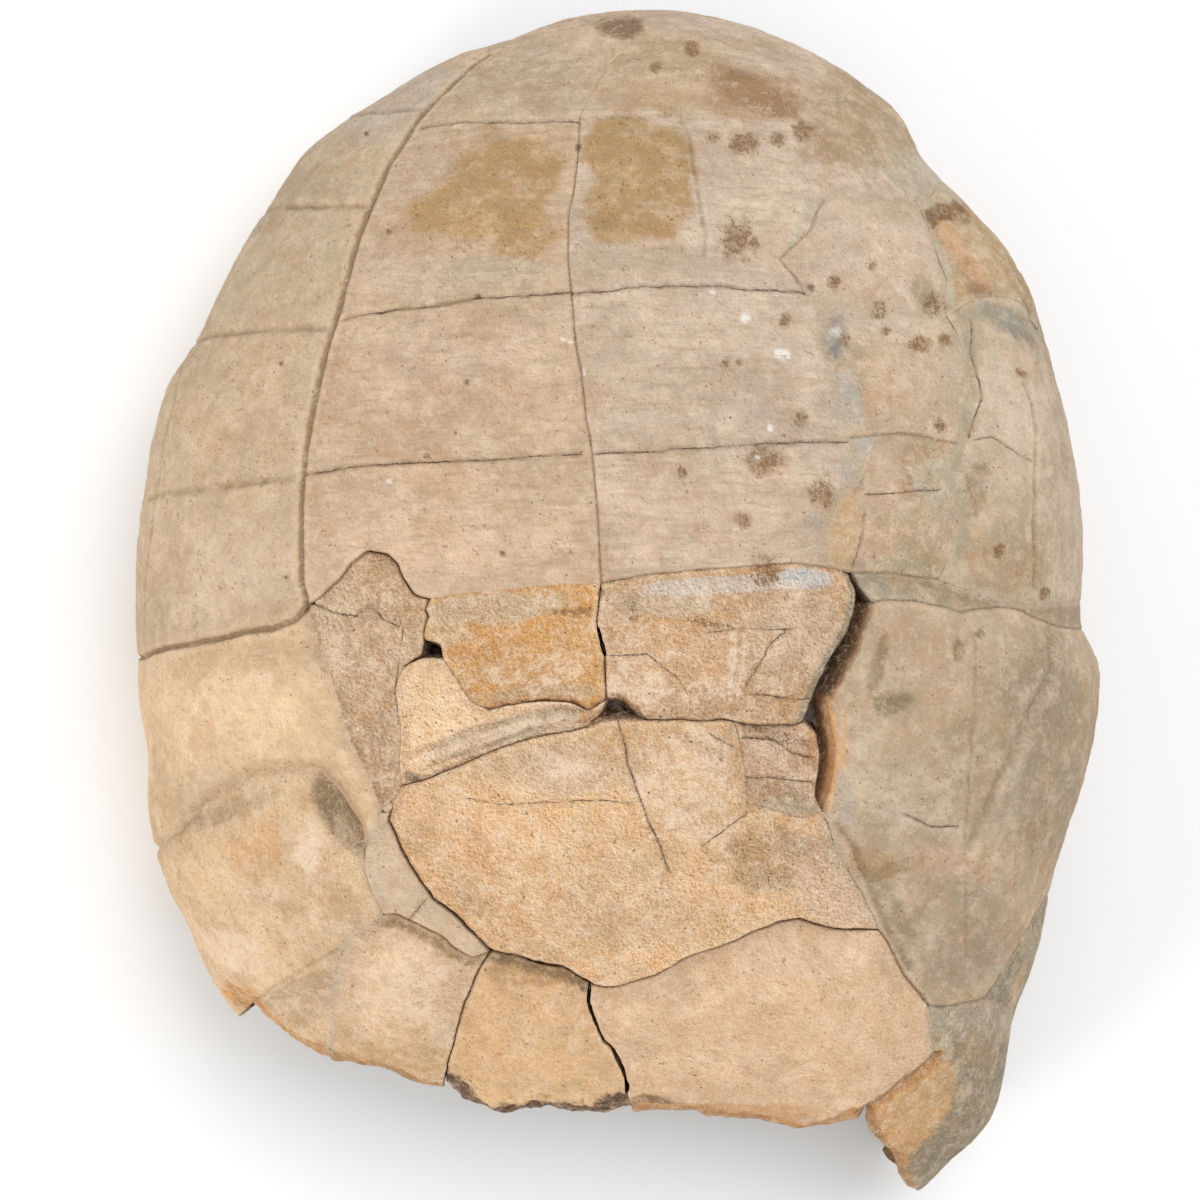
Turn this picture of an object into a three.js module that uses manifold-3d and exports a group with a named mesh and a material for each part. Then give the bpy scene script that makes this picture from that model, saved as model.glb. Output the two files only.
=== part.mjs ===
// The back shell of a large fossil tortoise, broken and mended: a hollow dome of bone, open underneath,
// that stands on the lower edge of its side walls. Millimetres, +Z up, the head end towards +Y.
import * as THREE from 'three';
import { mergeVertices } from 'three/addons/utils/BufferGeometryUtils.js';
import Module from 'manifold-3d';

const wasm = await Module();
wasm.setup();

// Driving dimensions
const SHELL_WIDTH = 386;
const SHELL_HEIGHT = 165;
const LIMB_HEIGHT = 54;
const BONE = 12;
const WALL_TUCK = 7;
const HEAD_ARCH = 30;
const TAIL_ARCH = 50;
const CRACK = 0.5;
const GROOVE_WIDTH = 4.5;
const GROOVE_DEPTH = 2.2;

// The dome's section: an oval, squarer than an ellipse at the shoulder
const PLAN_POWER = 2.25;
const DOME_POWER = 2.1;

// The plan is drawn as an eye high above the shell sees it, in photograph pixels of a 1200 pixel square
const EYE_HEIGHT = 1000;
const PLAN_CENTRE = [600, 600];
const DRAWN_WIDTH = 968;
const PIXEL = (SHELL_WIDTH / DRAWN_WIDTH) * (EYE_HEIGHT / (EYE_HEIGHT - LIMB_HEIGHT));

// Where the middle of the footprint lies from the point under the eye
const FOOT_X = 6.75;
const FOOT_Y = -1.91;

// How finely the dome is faceted: steps round it, rings down to the limb and rings down the side wall
const ROUND_STEPS = 52;
const DOME_RINGS = 11;
const WALL_RINGS = 2;
const INNER_ROUND_STEPS = 30;
const INNER_DOME_RINGS = 6;
const WALL_SPAN = 0.3;
const APEX_START = 0.06;

// The widest line of the shell, clockwise from the head end; its lower part runs just outside the broken rim
const LIMB_LINE = [
  [638, 8], [688, 10], [738, 21], [784, 38], [837, 65], [897, 109], [923, 161], [971, 207], [1006, 245],
  [1029, 283], [1052, 364], [1075, 459], [1084, 555], [1080, 625], [1102, 665], [1095, 744], [1083, 789],
  [1069, 829], [1052, 876], [1042, 937], [1011, 1021], [1006, 1078], [990, 1128], [952, 1160], [910, 1206],
  [862, 1165], [760, 1165], [600, 1160], [450, 1132], [325, 1090], [240, 1022],
  [203, 963], [187, 921], [164, 881], [153, 849], [151, 753], [136, 657], [134, 600], [143, 494],
  [166, 386], [199, 337], [222, 283], [268, 207], [306, 149], [383, 96], [455, 54], [513, 38], [566, 17],
];

// Cracks and edges between the fragments
const LEFT_SUTURE = [
  [474, -60], [488, 53], [448, 87], [404, 139], [373, 198], [346, 277], [327, 343], [311, 410],
  [302, 475], [300, 540], [306, 605],
];
const LEFT_SUTURE_LOW = [[306, 605], [320, 656], [338, 713], [361, 768], [379, 813]];
const LEFT_BREAK = [[306, 605], [271, 629], [212, 640], [142, 657], [20, 676]];
const CORNER_TOP = [
  [363, 850], [344, 805], [316, 771], [251, 772], [200, 800], [153, 849], [20, 925],
];
const MIDLINE = [
  [640, -60], [631, 42], [590, 92], [579, 115], [573, 191], [567, 256], [571, 292], [575, 342],
  [586, 419], [592, 454], [598, 525], [601, 583],
];
const MIDLINE_LOW = [[601, 583], [598, 612], [601, 642], [605, 671], [607, 700]];
const LEFT_LEDGE = [[306, 605], [340, 578], [367, 550], [392, 558], [414, 595], [429, 599]];
const LEFT_CROSS_BREAK = [[429, 599], [502, 590], [560, 585], [601, 583]];
const RIGHT_CROSS_BREAK = [[601, 583], [642, 575], [703, 570], [754, 566], [795, 563], [828, 567]];
const SHOULDER_LEFT = [[806, 292], [780, 258], [811, 227], [825, 199], [882, 201], [922, 209]];
const SHOULDER_RIGHT = [[922, 209], [936, 240], [949, 278], [948, 316]];
const SHOULDER_FOOT = [[806, 292], [882, 309], [948, 316]];
const SHOULDER_OUT = [[922, 209], [944, 186], [1130, -20]];
const MARGIN_LEDGE = [[948, 316], [968, 302], [992, 297], [1019, 301], [1047, 342], [1180, 265]];
const SIDE_UPPER_LEFT = [[806, 292], [822, 340], [838, 400], [850, 438]];
const SIDE_UPPER_RIGHT = [[948, 316], [964, 350], [966, 390], [960, 444]];
const SIDE_UPPER_FOOT = [[850, 438], [902, 434], [960, 444]];
const SIDE_MIDDLE_LEFT = [[850, 438], [862, 470], [840, 500], [826, 535], [828, 567]];
const SIDE_MIDDLE_RIGHT = [[960, 444], [947, 485], [962, 530], [940, 579]];
const SIDE_MIDDLE_FOOT = [[853, 573], [886, 573], [940, 579]];
const TAN_STRIP_FOOT = [[828, 567], [853, 573]];
const BAND_TOP = [[940, 579], [985, 592], [1035, 602], [1082, 602], [1180, 603]];
const BAND_FOOT = [[872, 602], [922, 603], [963, 611], [1004, 609], [1044, 622], [1082, 629], [1180, 632]];
const BAND_END = [[853, 573], [872, 602]];
const MIDDLE_RIGHT_EDGE = [[853, 573], [859, 605], [848, 635], [817, 692], [806, 722]];
const FLANK_EDGE = [
  [872, 602], [863, 640], [843, 682], [826, 703], [832, 742], [830, 780], [824, 812],
];
const FLANK_EDGE_LOW = [[824, 812], [836, 846], [857, 880], [880, 930]];
const FLANK_FOOT = [
  [931, 1007], [950, 1007], [987, 999], [1009, 964], [1037, 914], [1048, 893], [1180, 980],
];
const BLOCK_EDGE = [[806, 722], [821, 745], [819, 790], [824, 812]];
const BLOCK_TOP = [[735, 722], [780, 726], [806, 722]];
const BLOCK_LEFT = [[735, 722], [745, 760], [748, 804], [784, 813], [824, 812]];
const MIDDLE_RIGHT_FOOT = [[735, 722], [700, 721], [639, 720]];
const MIDDLE_RIGHT_NOSE = [[639, 720], [621, 701], [607, 700]];
const MIDDLE_LEFT_FOOT = [[607, 700], [590, 710], [570, 702], [523, 703], [488, 711]];
const DIAGONAL_CRACK = [[488, 711], [466, 695], [441, 658]];
const MIDDLE_LEFT_EDGE = [[429, 599], [424, 609], [427, 622], [424, 640]];
const HOLE_TOP = [[424, 640], [439, 644], [441, 658]];
const HOLE_FOOT = [[441, 658], [428, 657], [404, 666]];
const HOLE_LEFT = [[424, 640], [420, 655], [404, 666]];
const WEDGE_LEFT = [[404, 666], [397, 691], [401, 728], [401, 786]];
const WEDGE_FOOT = [[401, 786], [447, 771], [502, 748], [564, 733], [590, 727]];
const WEDGE_TIP = [[607, 700], [601, 716], [590, 727]];
const LOWER_TOP = [[590, 727], [612, 722], [639, 720]];
const LOWER_CORNER = [[401, 786], [390, 811]];
const STRIP_TOP = [[379, 813], [390, 811]];
const STRIP_LEFT = [[379, 813], [363, 850]];
const STRIP_LEFT_LOW = [[363, 850], [366, 882], [383, 916]];
const STRIP_FOOT = [[383, 916], [413, 926], [441, 937], [470, 957], [490, 953]];
const LOWER_EDGE_LEFT = [[390, 811], [393, 832], [416, 877], [457, 919], [490, 953]];
const LOWER_EDGE_CENTRE = [[490, 953], [543, 966], [590, 985]];
const LOWER_EDGE_RIGHT = [
  [590, 985], [616, 987], [686, 958], [755, 931], [800, 919], [857, 929], [880, 930],
];
const CORNER_EDGE = [[383, 916], [342, 953], [336, 984], [330, 1010], [326, 1068]];
const CORNER_RIM = [[326, 1068], [291, 1050], [260, 1025], [245, 1009], [20, 1200], [20, 925]];
const LEFT_RIM_CRACK = [[490, 953], [475, 978], [456, 1033], [442, 1096]];
const LEFT_RIM = [[442, 1096], [421, 1094], [383, 1078], [326, 1068]];
const RIGHT_RIM_CRACK = [[590, 985], [590, 1010], [606, 1046], [625, 1078], [631, 1119]];
const CENTRE_RIM = [[631, 1119], [602, 1128], [547, 1122], [498, 1131], [442, 1096]];
const RIGHT_RIM = [
  [631, 1119], [657, 1118], [696, 1117], [761, 1128], [800, 1136], [853, 1126], [862, 1119],
];
const RIM_FLANK_CRACK = [[880, 930], [907, 975], [931, 1007]];
const FRAGMENT_SIDE = [[931, 1007], [936, 1035], [937, 1060]];
const FRAGMENT_EDGE = [[937, 1060], [907, 1085], [862, 1119]];
const FRAGMENT_RIM = [
  [862, 1119], [864, 1136], [893, 1163], [903, 1190], [925, 1260], [1180, 1260], [1180, 980],
];
const HEAD_LEFT_OUT = [[20, 676], [20, -60], [474, -60]];
const LEFT_OUT = [[20, 676], [20, 925]];
const HEAD_CENTRE_OUT = [[474, -60], [640, -60]];
const HEAD_RIGHT_OUT = [[640, -60], [1130, -20]];
const MARGIN_UPPER_OUT = [[1130, -20], [1180, 265]];
const MARGIN_LOWER_OUT = [[1180, 265], [1180, 603]];
const BAND_OUT = [[1180, 603], [1180, 632]];
const FLANK_OUT = [[1180, 632], [1180, 980]];

// Soft grooves between the shell's scutes, and fine cracks that don't part the bone
const GROOVES = [
  [[346, 119], [383, 112], [424, 107], [464, 121], [514, 120], [577, 119], [640, 117], [690, 118]],
  [[262, 212], [296, 207], [377, 205]],
  [[192, 344], [225, 334], [254, 330], [337, 327]],
  [[148, 498], [177, 492], [254, 482], [309, 476]],
  [[323, 324], [382, 311], [475, 298], [570, 291], [642, 286], [723, 286], [786, 290]],
  [[296, 475], [351, 467], [443, 462], [545, 456], [592, 454], [642, 451], [764, 444], [850, 440]],
  [[690, 118], [698, 190], [706, 254]],
  [[618, 722], [633, 779], [651, 826], [668, 870]],
  [[1035, 384], [1040, 430], [1036, 520], [1036, 600]],
  [[1051, 632], [1050, 670], [1026, 723], [993, 795], [971, 850]],
  [[862, 514], [858, 545], [853, 570]],
  [[840, 828], [906, 818], [959, 827]],
  [[409, 922], [424, 903]],
];

// Lumps and hollows of the bone: place, reach across, reach down, height in millimetres
const RELIEF = [
  [250, 700, 90, 60, 5],
  [205, 800, 55, 34, -5],
  [290, 870, 75, 70, 6],
  [340, 822, 20, 36, -8],
  [300, 1005, 40, 24, -5],
  [420, 1010, 60, 50, 3],
  [540, 1040, 50, 45, 3],
  [760, 1020, 110, 70, 4],
  [600, 860, 150, 90, 4],
  [940, 720, 90, 90, 4],
  [520, 650, 70, 30, 3],
  [700, 650, 90, 45, 3],
  [965, 245, 22, 36, -5],
  [970, 480, 16, 60, -3],
  [450, 370, 120, 60, 2],
  [720, 370, 110, 60, 2],
  [460, 205, 70, 50, 2],
  [850, 130, 60, 60, -3],
];

const wrapAngle = (angle) => (angle < 0 ? angle + 2 * Math.PI : angle);
const planAngle = ([px, py]) => wrapAngle(Math.atan2(PLAN_CENTRE[1] - py, px - PLAN_CENTRE[0]));

// How far the limb line stands from the plan's centre in the direction of an angle, in pixels
const limbCorners = LIMB_LINE.map((point) => ({
  angle: planAngle(point),
  reach: Math.hypot(point[0] - PLAN_CENTRE[0], point[1] - PLAN_CENTRE[1]),
})).sort((a, b) => a.angle - b.angle);

function limbReach(angle) {
  const turn = wrapAngle(angle % (2 * Math.PI));
  const next = limbCorners.findIndex((corner) => corner.angle > turn);
  const after = limbCorners[next === -1 ? 0 : next];
  const before = limbCorners[next <= 0 ? limbCorners.length - 1 : next - 1];
  const span = wrapAngle(after.angle - before.angle);
  const share = wrapAngle(turn - before.angle) / span;
  return before.reach + (after.reach - before.reach) * share;
}

function relief(px, py) {
  return RELIEF.reduce((sum, [cx, cy, across, down, height]) => {
    const away = ((px - cx) / across) ** 2 + ((py - cy) / down) ** 2;
    return sum + height * Math.exp(-away);
  }, 0);
}

// A drawn place at a height, in space: along the line of sight from the eye
function inSpace(px, py, z) {
  const sight = (PIXEL * (EYE_HEIGHT - z)) / EYE_HEIGHT;
  const x = (px - PLAN_CENTRE[0]) * sight - FOOT_X;
  const y = (PLAN_CENTRE[1] - py) * sight - FOOT_Y;
  return new THREE.Vector3(x, y, z);
}

// The lower edge of the wall is level at the sides, arches up over the head end and higher over the tail
// end, where the left corner climbs slowly to it and the fallen corner on the right breaks off short
function rimHeight(angle) {
  const degrees = THREE.MathUtils.radToDeg(wrapAngle(angle));
  const [headStart, tailStart, tailHigh, tailLow, tailEnd] = [0.72, 208, 230, 294, 298];
  const ahead = THREE.MathUtils.smoothstep(Math.sin(angle), headStart, 1);
  const climb = THREE.MathUtils.smoothstep(degrees, tailStart, tailHigh);
  const drop = THREE.MathUtils.smoothstep(degrees, tailLow, tailEnd);
  return HEAD_ARCH * ahead + TAIL_ARCH * climb * (1 - drop);
}

// The outer face: down runs from 0 at the top of the dome, through 1 at the limb, to 1 + WALL_SPAN at the rim
function outerPoint(angle, down) {
  const tilt = (Math.min(down, 1) * Math.PI) / 2;
  const out = Math.sin(tilt) ** (2 / PLAN_POWER);
  const reach = out * limbReach(angle);
  const px = PLAN_CENTRE[0] + reach * Math.cos(angle);
  const py = PLAN_CENTRE[1] - reach * Math.sin(angle);
  const rise = Math.cos(tilt) ** (2 / DOME_POWER);
  const z = LIMB_HEIGHT + (SHELL_HEIGHT - LIMB_HEIGHT) * rise + relief(px, py) * Math.min(1, 3 * rise);
  const point = inSpace(px, py, z);
  if (down > 1) {
    const share = (down - 1) / WALL_SPAN;
    const tuck = WALL_TUCK * share * share;
    point.x -= tuck * Math.cos(angle);
    point.y -= tuck * Math.sin(angle);
    point.z = THREE.MathUtils.lerp(z, rimHeight(angle), share);
  }
  return point;
}

function outwardNormal(angle, down) {
  const step = 0.01;
  const around = outerPoint(angle + step, down).sub(outerPoint(angle - step, down));
  const along = outerPoint(angle, down + step).sub(outerPoint(angle, down - step));
  return along.cross(around).normalize();
}

// The inner face lies one bone thickness inside; its last ring is level with the outer rim
function innerPoint(angle, down) {
  const point = outerPoint(angle, down);
  const isRim = down > 1 + WALL_SPAN - 0.001;
  const outward = outwardNormal(angle, isRim ? down - 0.02 : down);
  if (isRim) {
    outward.z = 0;
  }
  return point.addScaledVector(outward, -BONE);
}

// Rings of one face, from the ring beside the apex down to the rim, and the apex itself
function faceRings(pointAt, roundSteps, domeRings) {
  const rings = [];
  const total = domeRings + WALL_RINGS;
  for (let ring = 0; ring <= total; ring += 1) {
    const down = ring <= domeRings
      ? THREE.MathUtils.lerp(APEX_START, 1, ring / domeRings)
      : 1 + (WALL_SPAN * (ring - domeRings)) / WALL_RINGS;
    const points = [];
    for (let step = 0; step < roundSteps; step += 1) {
      points.push(pointAt((2 * Math.PI * step) / roundSteps, down));
    }
    rings.push(points);
  }
  const apex = new THREE.Vector3();
  rings[0].forEach((point) => apex.add(point));
  apex.divideScalar(roundSteps);
  return { rings, apex };
}

// Triangles between two closed rings whose point counts differ, like a zip
function zipRings(upper, lower, add) {
  let i = 0;
  let j = 0;
  while (i < upper.length || j < lower.length) {
    const a = upper[i % upper.length];
    const b = lower[j % lower.length];
    if ((i + 1) / upper.length <= (j + 1) / lower.length) {
      add(a, b, upper[(i + 1) % upper.length]);
      i += 1;
    } else {
      add(a, b, lower[(j + 1) % lower.length]);
      j += 1;
    }
  }
}

function toSolid(geometry) {
  geometry.deleteAttribute('normal');
  geometry.deleteAttribute('uv');
  const merged = mergeVertices(geometry, 1e-4);
  const mesh = new wasm.Mesh({
    numProp: 3,
    vertProperties: Float32Array.from(merged.attributes.position.array),
    triVerts: Uint32Array.from(merged.index.array),
  });
  return new wasm.Manifold(mesh);
}

function solidFromTriangles(corners) {
  const geometry = new THREE.BufferGeometry();
  geometry.setAttribute('position', new THREE.Float32BufferAttribute(corners, 3));
  return toSolid(geometry);
}

// The whole carapace before it broke: outer face, inner face and the level rim between them
function wholeShell() {
  const corners = [];
  const add = (a, b, c) => corners.push(a.x, a.y, a.z, b.x, b.y, b.z, c.x, c.y, c.z);
  const outer = faceRings(outerPoint, ROUND_STEPS, DOME_RINGS);
  const inner = faceRings(innerPoint, INNER_ROUND_STEPS, INNER_DOME_RINGS);
  const turned = (a, b, c) => add(a, c, b);
  zipFace(outer, add);
  zipFace(inner, turned);
  const outerRim = outer.rings[outer.rings.length - 1];
  const innerRim = inner.rings[inner.rings.length - 1];
  zipRings(outerRim, innerRim, add);
  return solidFromTriangles(corners);
}

function zipFace({ rings, apex }, add) {
  for (let ring = 0; ring + 1 < rings.length; ring += 1) {
    zipRings(rings[ring], rings[ring + 1], add);
  }
  const first = rings[0];
  first.forEach((point, index) => add(apex, point, first[(index + 1) % first.length]));
}

// The visible face at a drawn place, and its outward direction
function facePoint(px, py) {
  const angle = planAngle([px, py]);
  const out = Math.min(1, Math.hypot(px - PLAN_CENTRE[0], py - PLAN_CENTRE[1]) / limbReach(angle));
  const down = Math.asin(out ** (PLAN_POWER / 2)) / (Math.PI / 2);
  return outerPoint(angle, down);
}

function faceNormal(px, py) {
  const step = 2;
  const across = facePoint(px + step, py).sub(facePoint(px - step, py));
  const back = facePoint(px, py - step).sub(facePoint(px, py + step));
  return across.cross(back).normalize();
}

// A line of drawn points with no stretch longer than a limit
function resample(line, longest) {
  const points = [line[0]];
  for (let index = 1; index < line.length; index += 1) {
    const [ax, ay] = line[index - 1];
    const [bx, by] = line[index];
    const pieces = Math.max(1, Math.ceil(Math.hypot(bx - ax, by - ay) / longest));
    for (let piece = 1; piece <= pieces; piece += 1) {
      const share = piece / pieces;
      points.push([ax + (bx - ax) * share, ay + (by - ay) * share]);
    }
  }
  return points;
}

// A wedge laid along a drawn line, point down in the bone, which leaves a groove when it is cut away
function grooveCutter(line) {
  const longest = 55;
  const proud = 2;
  const stations = resample(line, longest);
  const sections = stations.map(([px, py], index) => {
    const middle = facePoint(px, py);
    const outward = faceNormal(px, py);
    const [ax, ay] = stations[Math.max(0, index - 1)];
    const [bx, by] = stations[Math.min(stations.length - 1, index + 1)];
    const along = facePoint(bx, by).sub(facePoint(ax, ay)).normalize();
    const side = along.clone().cross(outward).normalize();
    const half = (GROOVE_WIDTH / 2) * (1 + proud / GROOVE_DEPTH);
    return [
      middle.clone().addScaledVector(outward, -GROOVE_DEPTH),
      middle.clone().addScaledVector(outward, proud).addScaledVector(side, half),
      middle.clone().addScaledVector(outward, proud).addScaledVector(side, -half),
    ];
  });
  const corners = [];
  const add = (a, b, c) => corners.push(a.x, a.y, a.z, b.x, b.y, b.z, c.x, c.y, c.z);
  for (let index = 0; index + 1 < sections.length; index += 1) {
    for (let corner = 0; corner < 3; corner += 1) {
      const next = (corner + 1) % 3;
      add(sections[index][corner], sections[index + 1][corner], sections[index][next]);
      add(sections[index][next], sections[index + 1][corner], sections[index + 1][next]);
    }
  }
  const last = sections[sections.length - 1];
  add(sections[0][0], sections[0][1], sections[0][2]);
  add(last[0], last[2], last[1]);
  return solidFromTriangles(corners);
}

// Lines that share end points, joined head to tail into one closed outline
function outline(lines) {
  const isSame = (a, b) => a[0] === b[0] && a[1] === b[1];
  const left = lines.slice(1);
  let points = lines[0].slice();
  while (left.length > 0) {
    const end = points[points.length - 1];
    const at = left.findIndex((line) => isSame(line[0], end) || isSame(line[line.length - 1], end));
    if (at < 0) {
      throw new Error(`no line goes on from ${end}`);
    }
    const [line] = left.splice(at, 1);
    const onward = isSame(line[0], end) ? line : line.slice().reverse();
    points = points.concat(onward.slice(1));
  }
  if (!isSame(points[0], points[points.length - 1])) {
    throw new Error(`the outline from ${points[0]} stays open at ${points[points.length - 1]}`);
  }
  return points.slice(0, -1).map(([px, py]) => new THREE.Vector2(px, PLAN_CENTRE[1] * 2 - py));
}

// The outline drawn in by half a crack all round
function drawnIn(points, distance) {
  const isClockwise = THREE.ShapeUtils.isClockWise(points);
  const turn = isClockwise ? -1 : 1;
  const longestMitre = 3;
  return points.map((point, index) => {
    const before = points[(index + points.length - 1) % points.length];
    const after = points[(index + 1) % points.length];
    const into = point.clone().sub(before).normalize();
    const onward = after.clone().sub(point).normalize();
    const first = new THREE.Vector2(-into.y, into.x);
    const second = new THREE.Vector2(-onward.y, onward.x);
    const sum = first.clone().add(second);
    const mitre = Math.min(longestMitre, 2 / Math.max(0.001, sum.lengthSq()));
    return point.clone().addScaledVector(sum, turn * distance * mitre);
  });
}

// A column over an outline, its walls along the lines of sight from the eye. One that holds no side wall
// stands on a foot above it
function column(lines, foot) {
  const head = 230;
  const points = drawnIn(outline(lines), CRACK / 2 / PIXEL);
  const shape = new THREE.Shape(points);
  const geometry = new THREE.ExtrudeGeometry(shape, { depth: head - foot, bevelEnabled: false });
  const position = geometry.attributes.position;
  for (let index = 0; index < position.count; index += 1) {
    const px = position.getX(index);
    const py = PLAN_CENTRE[1] * 2 - position.getY(index);
    const place = inSpace(px, py, position.getZ(index) + foot);
    position.setXYZ(index, place.x, place.y, place.z);
  }
  return toSolid(geometry);
}

// Where a fragment's column starts: above the side wall, below all of it, or level with the floor
const OVER_WALL = 64;
const UNDER_WALL = -20;
const AT_FLOOR = 0;

// The fragments: outline, how far each stands proud of its neighbours or sinks, and its colour
const FRAGMENTS = {
  left_flank: {
    lines: [LEFT_SUTURE, LEFT_BREAK, HEAD_LEFT_OUT], foot: UNDER_WALL, lift: 0, colour: '#c9b08c',
  },
  left_bulge: {
    lines: [LEFT_BREAK, LEFT_SUTURE_LOW, STRIP_LEFT, CORNER_TOP, LEFT_OUT],
    foot: UNDER_WALL,
    lift: 0,
    colour: '#cbb088',
  },
  left_corner_plate: {
    lines: [CORNER_TOP, STRIP_LEFT_LOW, CORNER_EDGE, CORNER_RIM],
    foot: UNDER_WALL,
    lift: 1,
    colour: '#cdab79',
  },
  left_back: {
    lines: [LEFT_SUTURE, LEFT_LEDGE, LEFT_CROSS_BREAK, MIDLINE, HEAD_CENTRE_OUT],
    foot: UNDER_WALL,
    lift: 1,
    colour: '#ccb493',
  },
  right_back: {
    lines: [
      MIDLINE, RIGHT_CROSS_BREAK, SIDE_MIDDLE_LEFT, SIDE_UPPER_LEFT, SHOULDER_LEFT, SHOULDER_OUT,
      HEAD_RIGHT_OUT,
    ],
    foot: UNDER_WALL,
    lift: 1,
    colour: '#d0b598',
  },
  right_shoulder_plate: {
    lines: [SHOULDER_LEFT, SHOULDER_RIGHT, SHOULDER_FOOT], lift: 2.5, colour: '#d9bb9c',
  },
  right_side_upper: {
    lines: [SHOULDER_FOOT, SIDE_UPPER_RIGHT, SIDE_UPPER_FOOT, SIDE_UPPER_LEFT], lift: 0.5, colour: '#d6b998',
  },
  right_side_middle: {
    lines: [SIDE_UPPER_FOOT, SIDE_MIDDLE_RIGHT, SIDE_MIDDLE_FOOT, TAN_STRIP_FOOT, SIDE_MIDDLE_LEFT],
    lift: 0.5,
    colour: '#d2b796',
  },
  right_margin_upper: {
    lines: [SHOULDER_OUT, SHOULDER_RIGHT, MARGIN_LEDGE, MARGIN_UPPER_OUT],
    foot: UNDER_WALL,
    lift: 0,
    colour: '#cda777',
  },
  right_margin_lower: {
    lines: [MARGIN_LEDGE, SIDE_UPPER_RIGHT, SIDE_MIDDLE_RIGHT, BAND_TOP, MARGIN_LOWER_OUT],
    foot: UNDER_WALL,
    lift: 0,
    colour: '#c9b08e',
  },
  right_filler_band: {
    lines: [SIDE_MIDDLE_FOOT, BAND_TOP, BAND_OUT, BAND_FOOT, BAND_END],
    foot: AT_FLOOR,
    lift: -1.5,
    colour: '#b5a78b',
  },
  left_wedge_plate: {
    lines: [
      LEFT_LEDGE, MIDDLE_LEFT_EDGE, HOLE_LEFT, WEDGE_LEFT, LOWER_CORNER, STRIP_TOP, LEFT_SUTURE_LOW,
    ],
    lift: -2,
    colour: '#c2aa88',
  },
  middle_left_plate: {
    lines: [LEFT_CROSS_BREAK, MIDLINE_LOW, MIDDLE_LEFT_FOOT, DIAGONAL_CRACK, HOLE_TOP, MIDDLE_LEFT_EDGE],
    lift: -0.5,
    colour: '#d0aa7a',
  },
  left_wedge: {
    lines: [DIAGONAL_CRACK, MIDDLE_LEFT_FOOT, WEDGE_TIP, WEDGE_FOOT, WEDGE_LEFT, HOLE_FOOT],
    lift: -3.5,
    colour: '#cba980',
  },
  middle_right_plate: {
    lines: [
      RIGHT_CROSS_BREAK, TAN_STRIP_FOOT, MIDDLE_RIGHT_EDGE, BLOCK_TOP, MIDDLE_RIGHT_FOOT,
      MIDDLE_RIGHT_NOSE, MIDLINE_LOW,
    ],
    lift: 0.5,
    colour: '#d1ac7f',
  },
  right_ledge_block: {
    lines: [BLOCK_TOP, BLOCK_EDGE, BLOCK_LEFT], lift: -4, colour: '#c8ab88',
  },
  lower_plate: {
    lines: [
      WEDGE_FOOT, LOWER_TOP, MIDDLE_RIGHT_FOOT, BLOCK_LEFT, FLANK_EDGE_LOW, LOWER_EDGE_RIGHT,
      LOWER_EDGE_CENTRE, LOWER_EDGE_LEFT, LOWER_CORNER,
    ],
    lift: 2.5,
    colour: '#d3b086',
  },
  right_flank_plate: {
    lines: [BAND_FOOT, FLANK_OUT, FLANK_FOOT, RIM_FLANK_CRACK, FLANK_EDGE_LOW, FLANK_EDGE],
    foot: UNDER_WALL,
    lift: 1,
    colour: '#cfb290',
  },
  rim_right: {
    lines: [LOWER_EDGE_RIGHT, RIM_FLANK_CRACK, FRAGMENT_SIDE, FRAGMENT_EDGE, RIGHT_RIM, RIGHT_RIM_CRACK],
    lift: -2,
    colour: '#cfab7f',
  },
  rim_centre: {
    lines: [LOWER_EDGE_CENTRE, RIGHT_RIM_CRACK, CENTRE_RIM, LEFT_RIM_CRACK], lift: -4, colour: '#d0ac80',
  },
  rim_left: {
    lines: [STRIP_FOOT, LEFT_RIM_CRACK, LEFT_RIM, CORNER_EDGE], lift: -2, colour: '#cfae84',
  },
  corner_fragment: {
    lines: [FLANK_FOOT, FRAGMENT_SIDE, FRAGMENT_EDGE, FRAGMENT_RIM],
    foot: UNDER_WALL,
    lift: 0,
    colour: '#bda27a',
  },
  left_filler_strip: {
    lines: [STRIP_TOP, LOWER_EDGE_LEFT, STRIP_FOOT, STRIP_LEFT_LOW, STRIP_LEFT], lift: -2, colour: '#b9aa8f',
  },
};

function toMesh(name, solid, colour) {
  const { vertProperties, triVerts } = solid.getMesh();
  const geometry = new THREE.BufferGeometry();
  geometry.setAttribute('position', new THREE.BufferAttribute(vertProperties, 3));
  geometry.setIndex(new THREE.BufferAttribute(triVerts, 1));
  geometry.computeVertexNormals();
  const material = new THREE.MeshStandardMaterial({ color: colour, roughness: 0.88, metalness: 0 });
  const mesh = new THREE.Mesh(geometry, material);
  mesh.name = name;
  return mesh;
}

const grooves = GROOVES.map(grooveCutter).reduce((all, cutter) => all.add(cutter));
const shell = wholeShell().subtract(grooves);

const group = new THREE.Group();
for (const [name, { lines, lift, colour, foot = OVER_WALL }] of Object.entries(FRAGMENTS)) {
  const fragment = shell.translate([0, 0, lift]).intersect(column(lines, foot));
  group.add(toMesh(name, fragment, colour));
}

export default group;
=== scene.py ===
"""A mended fossil tortoise carapace: bone plates, open cracks, filler, stains and light.

Every plate is one grid on the shell's skin, bounded by the same drawn cracks as its solid and pushed
along the dome's normal by lumps, grooves, pits and grain. Lengths are millimetres until the mesh is made.
"""
import logging
from dataclasses import dataclass, field
from enum import Enum

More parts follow.
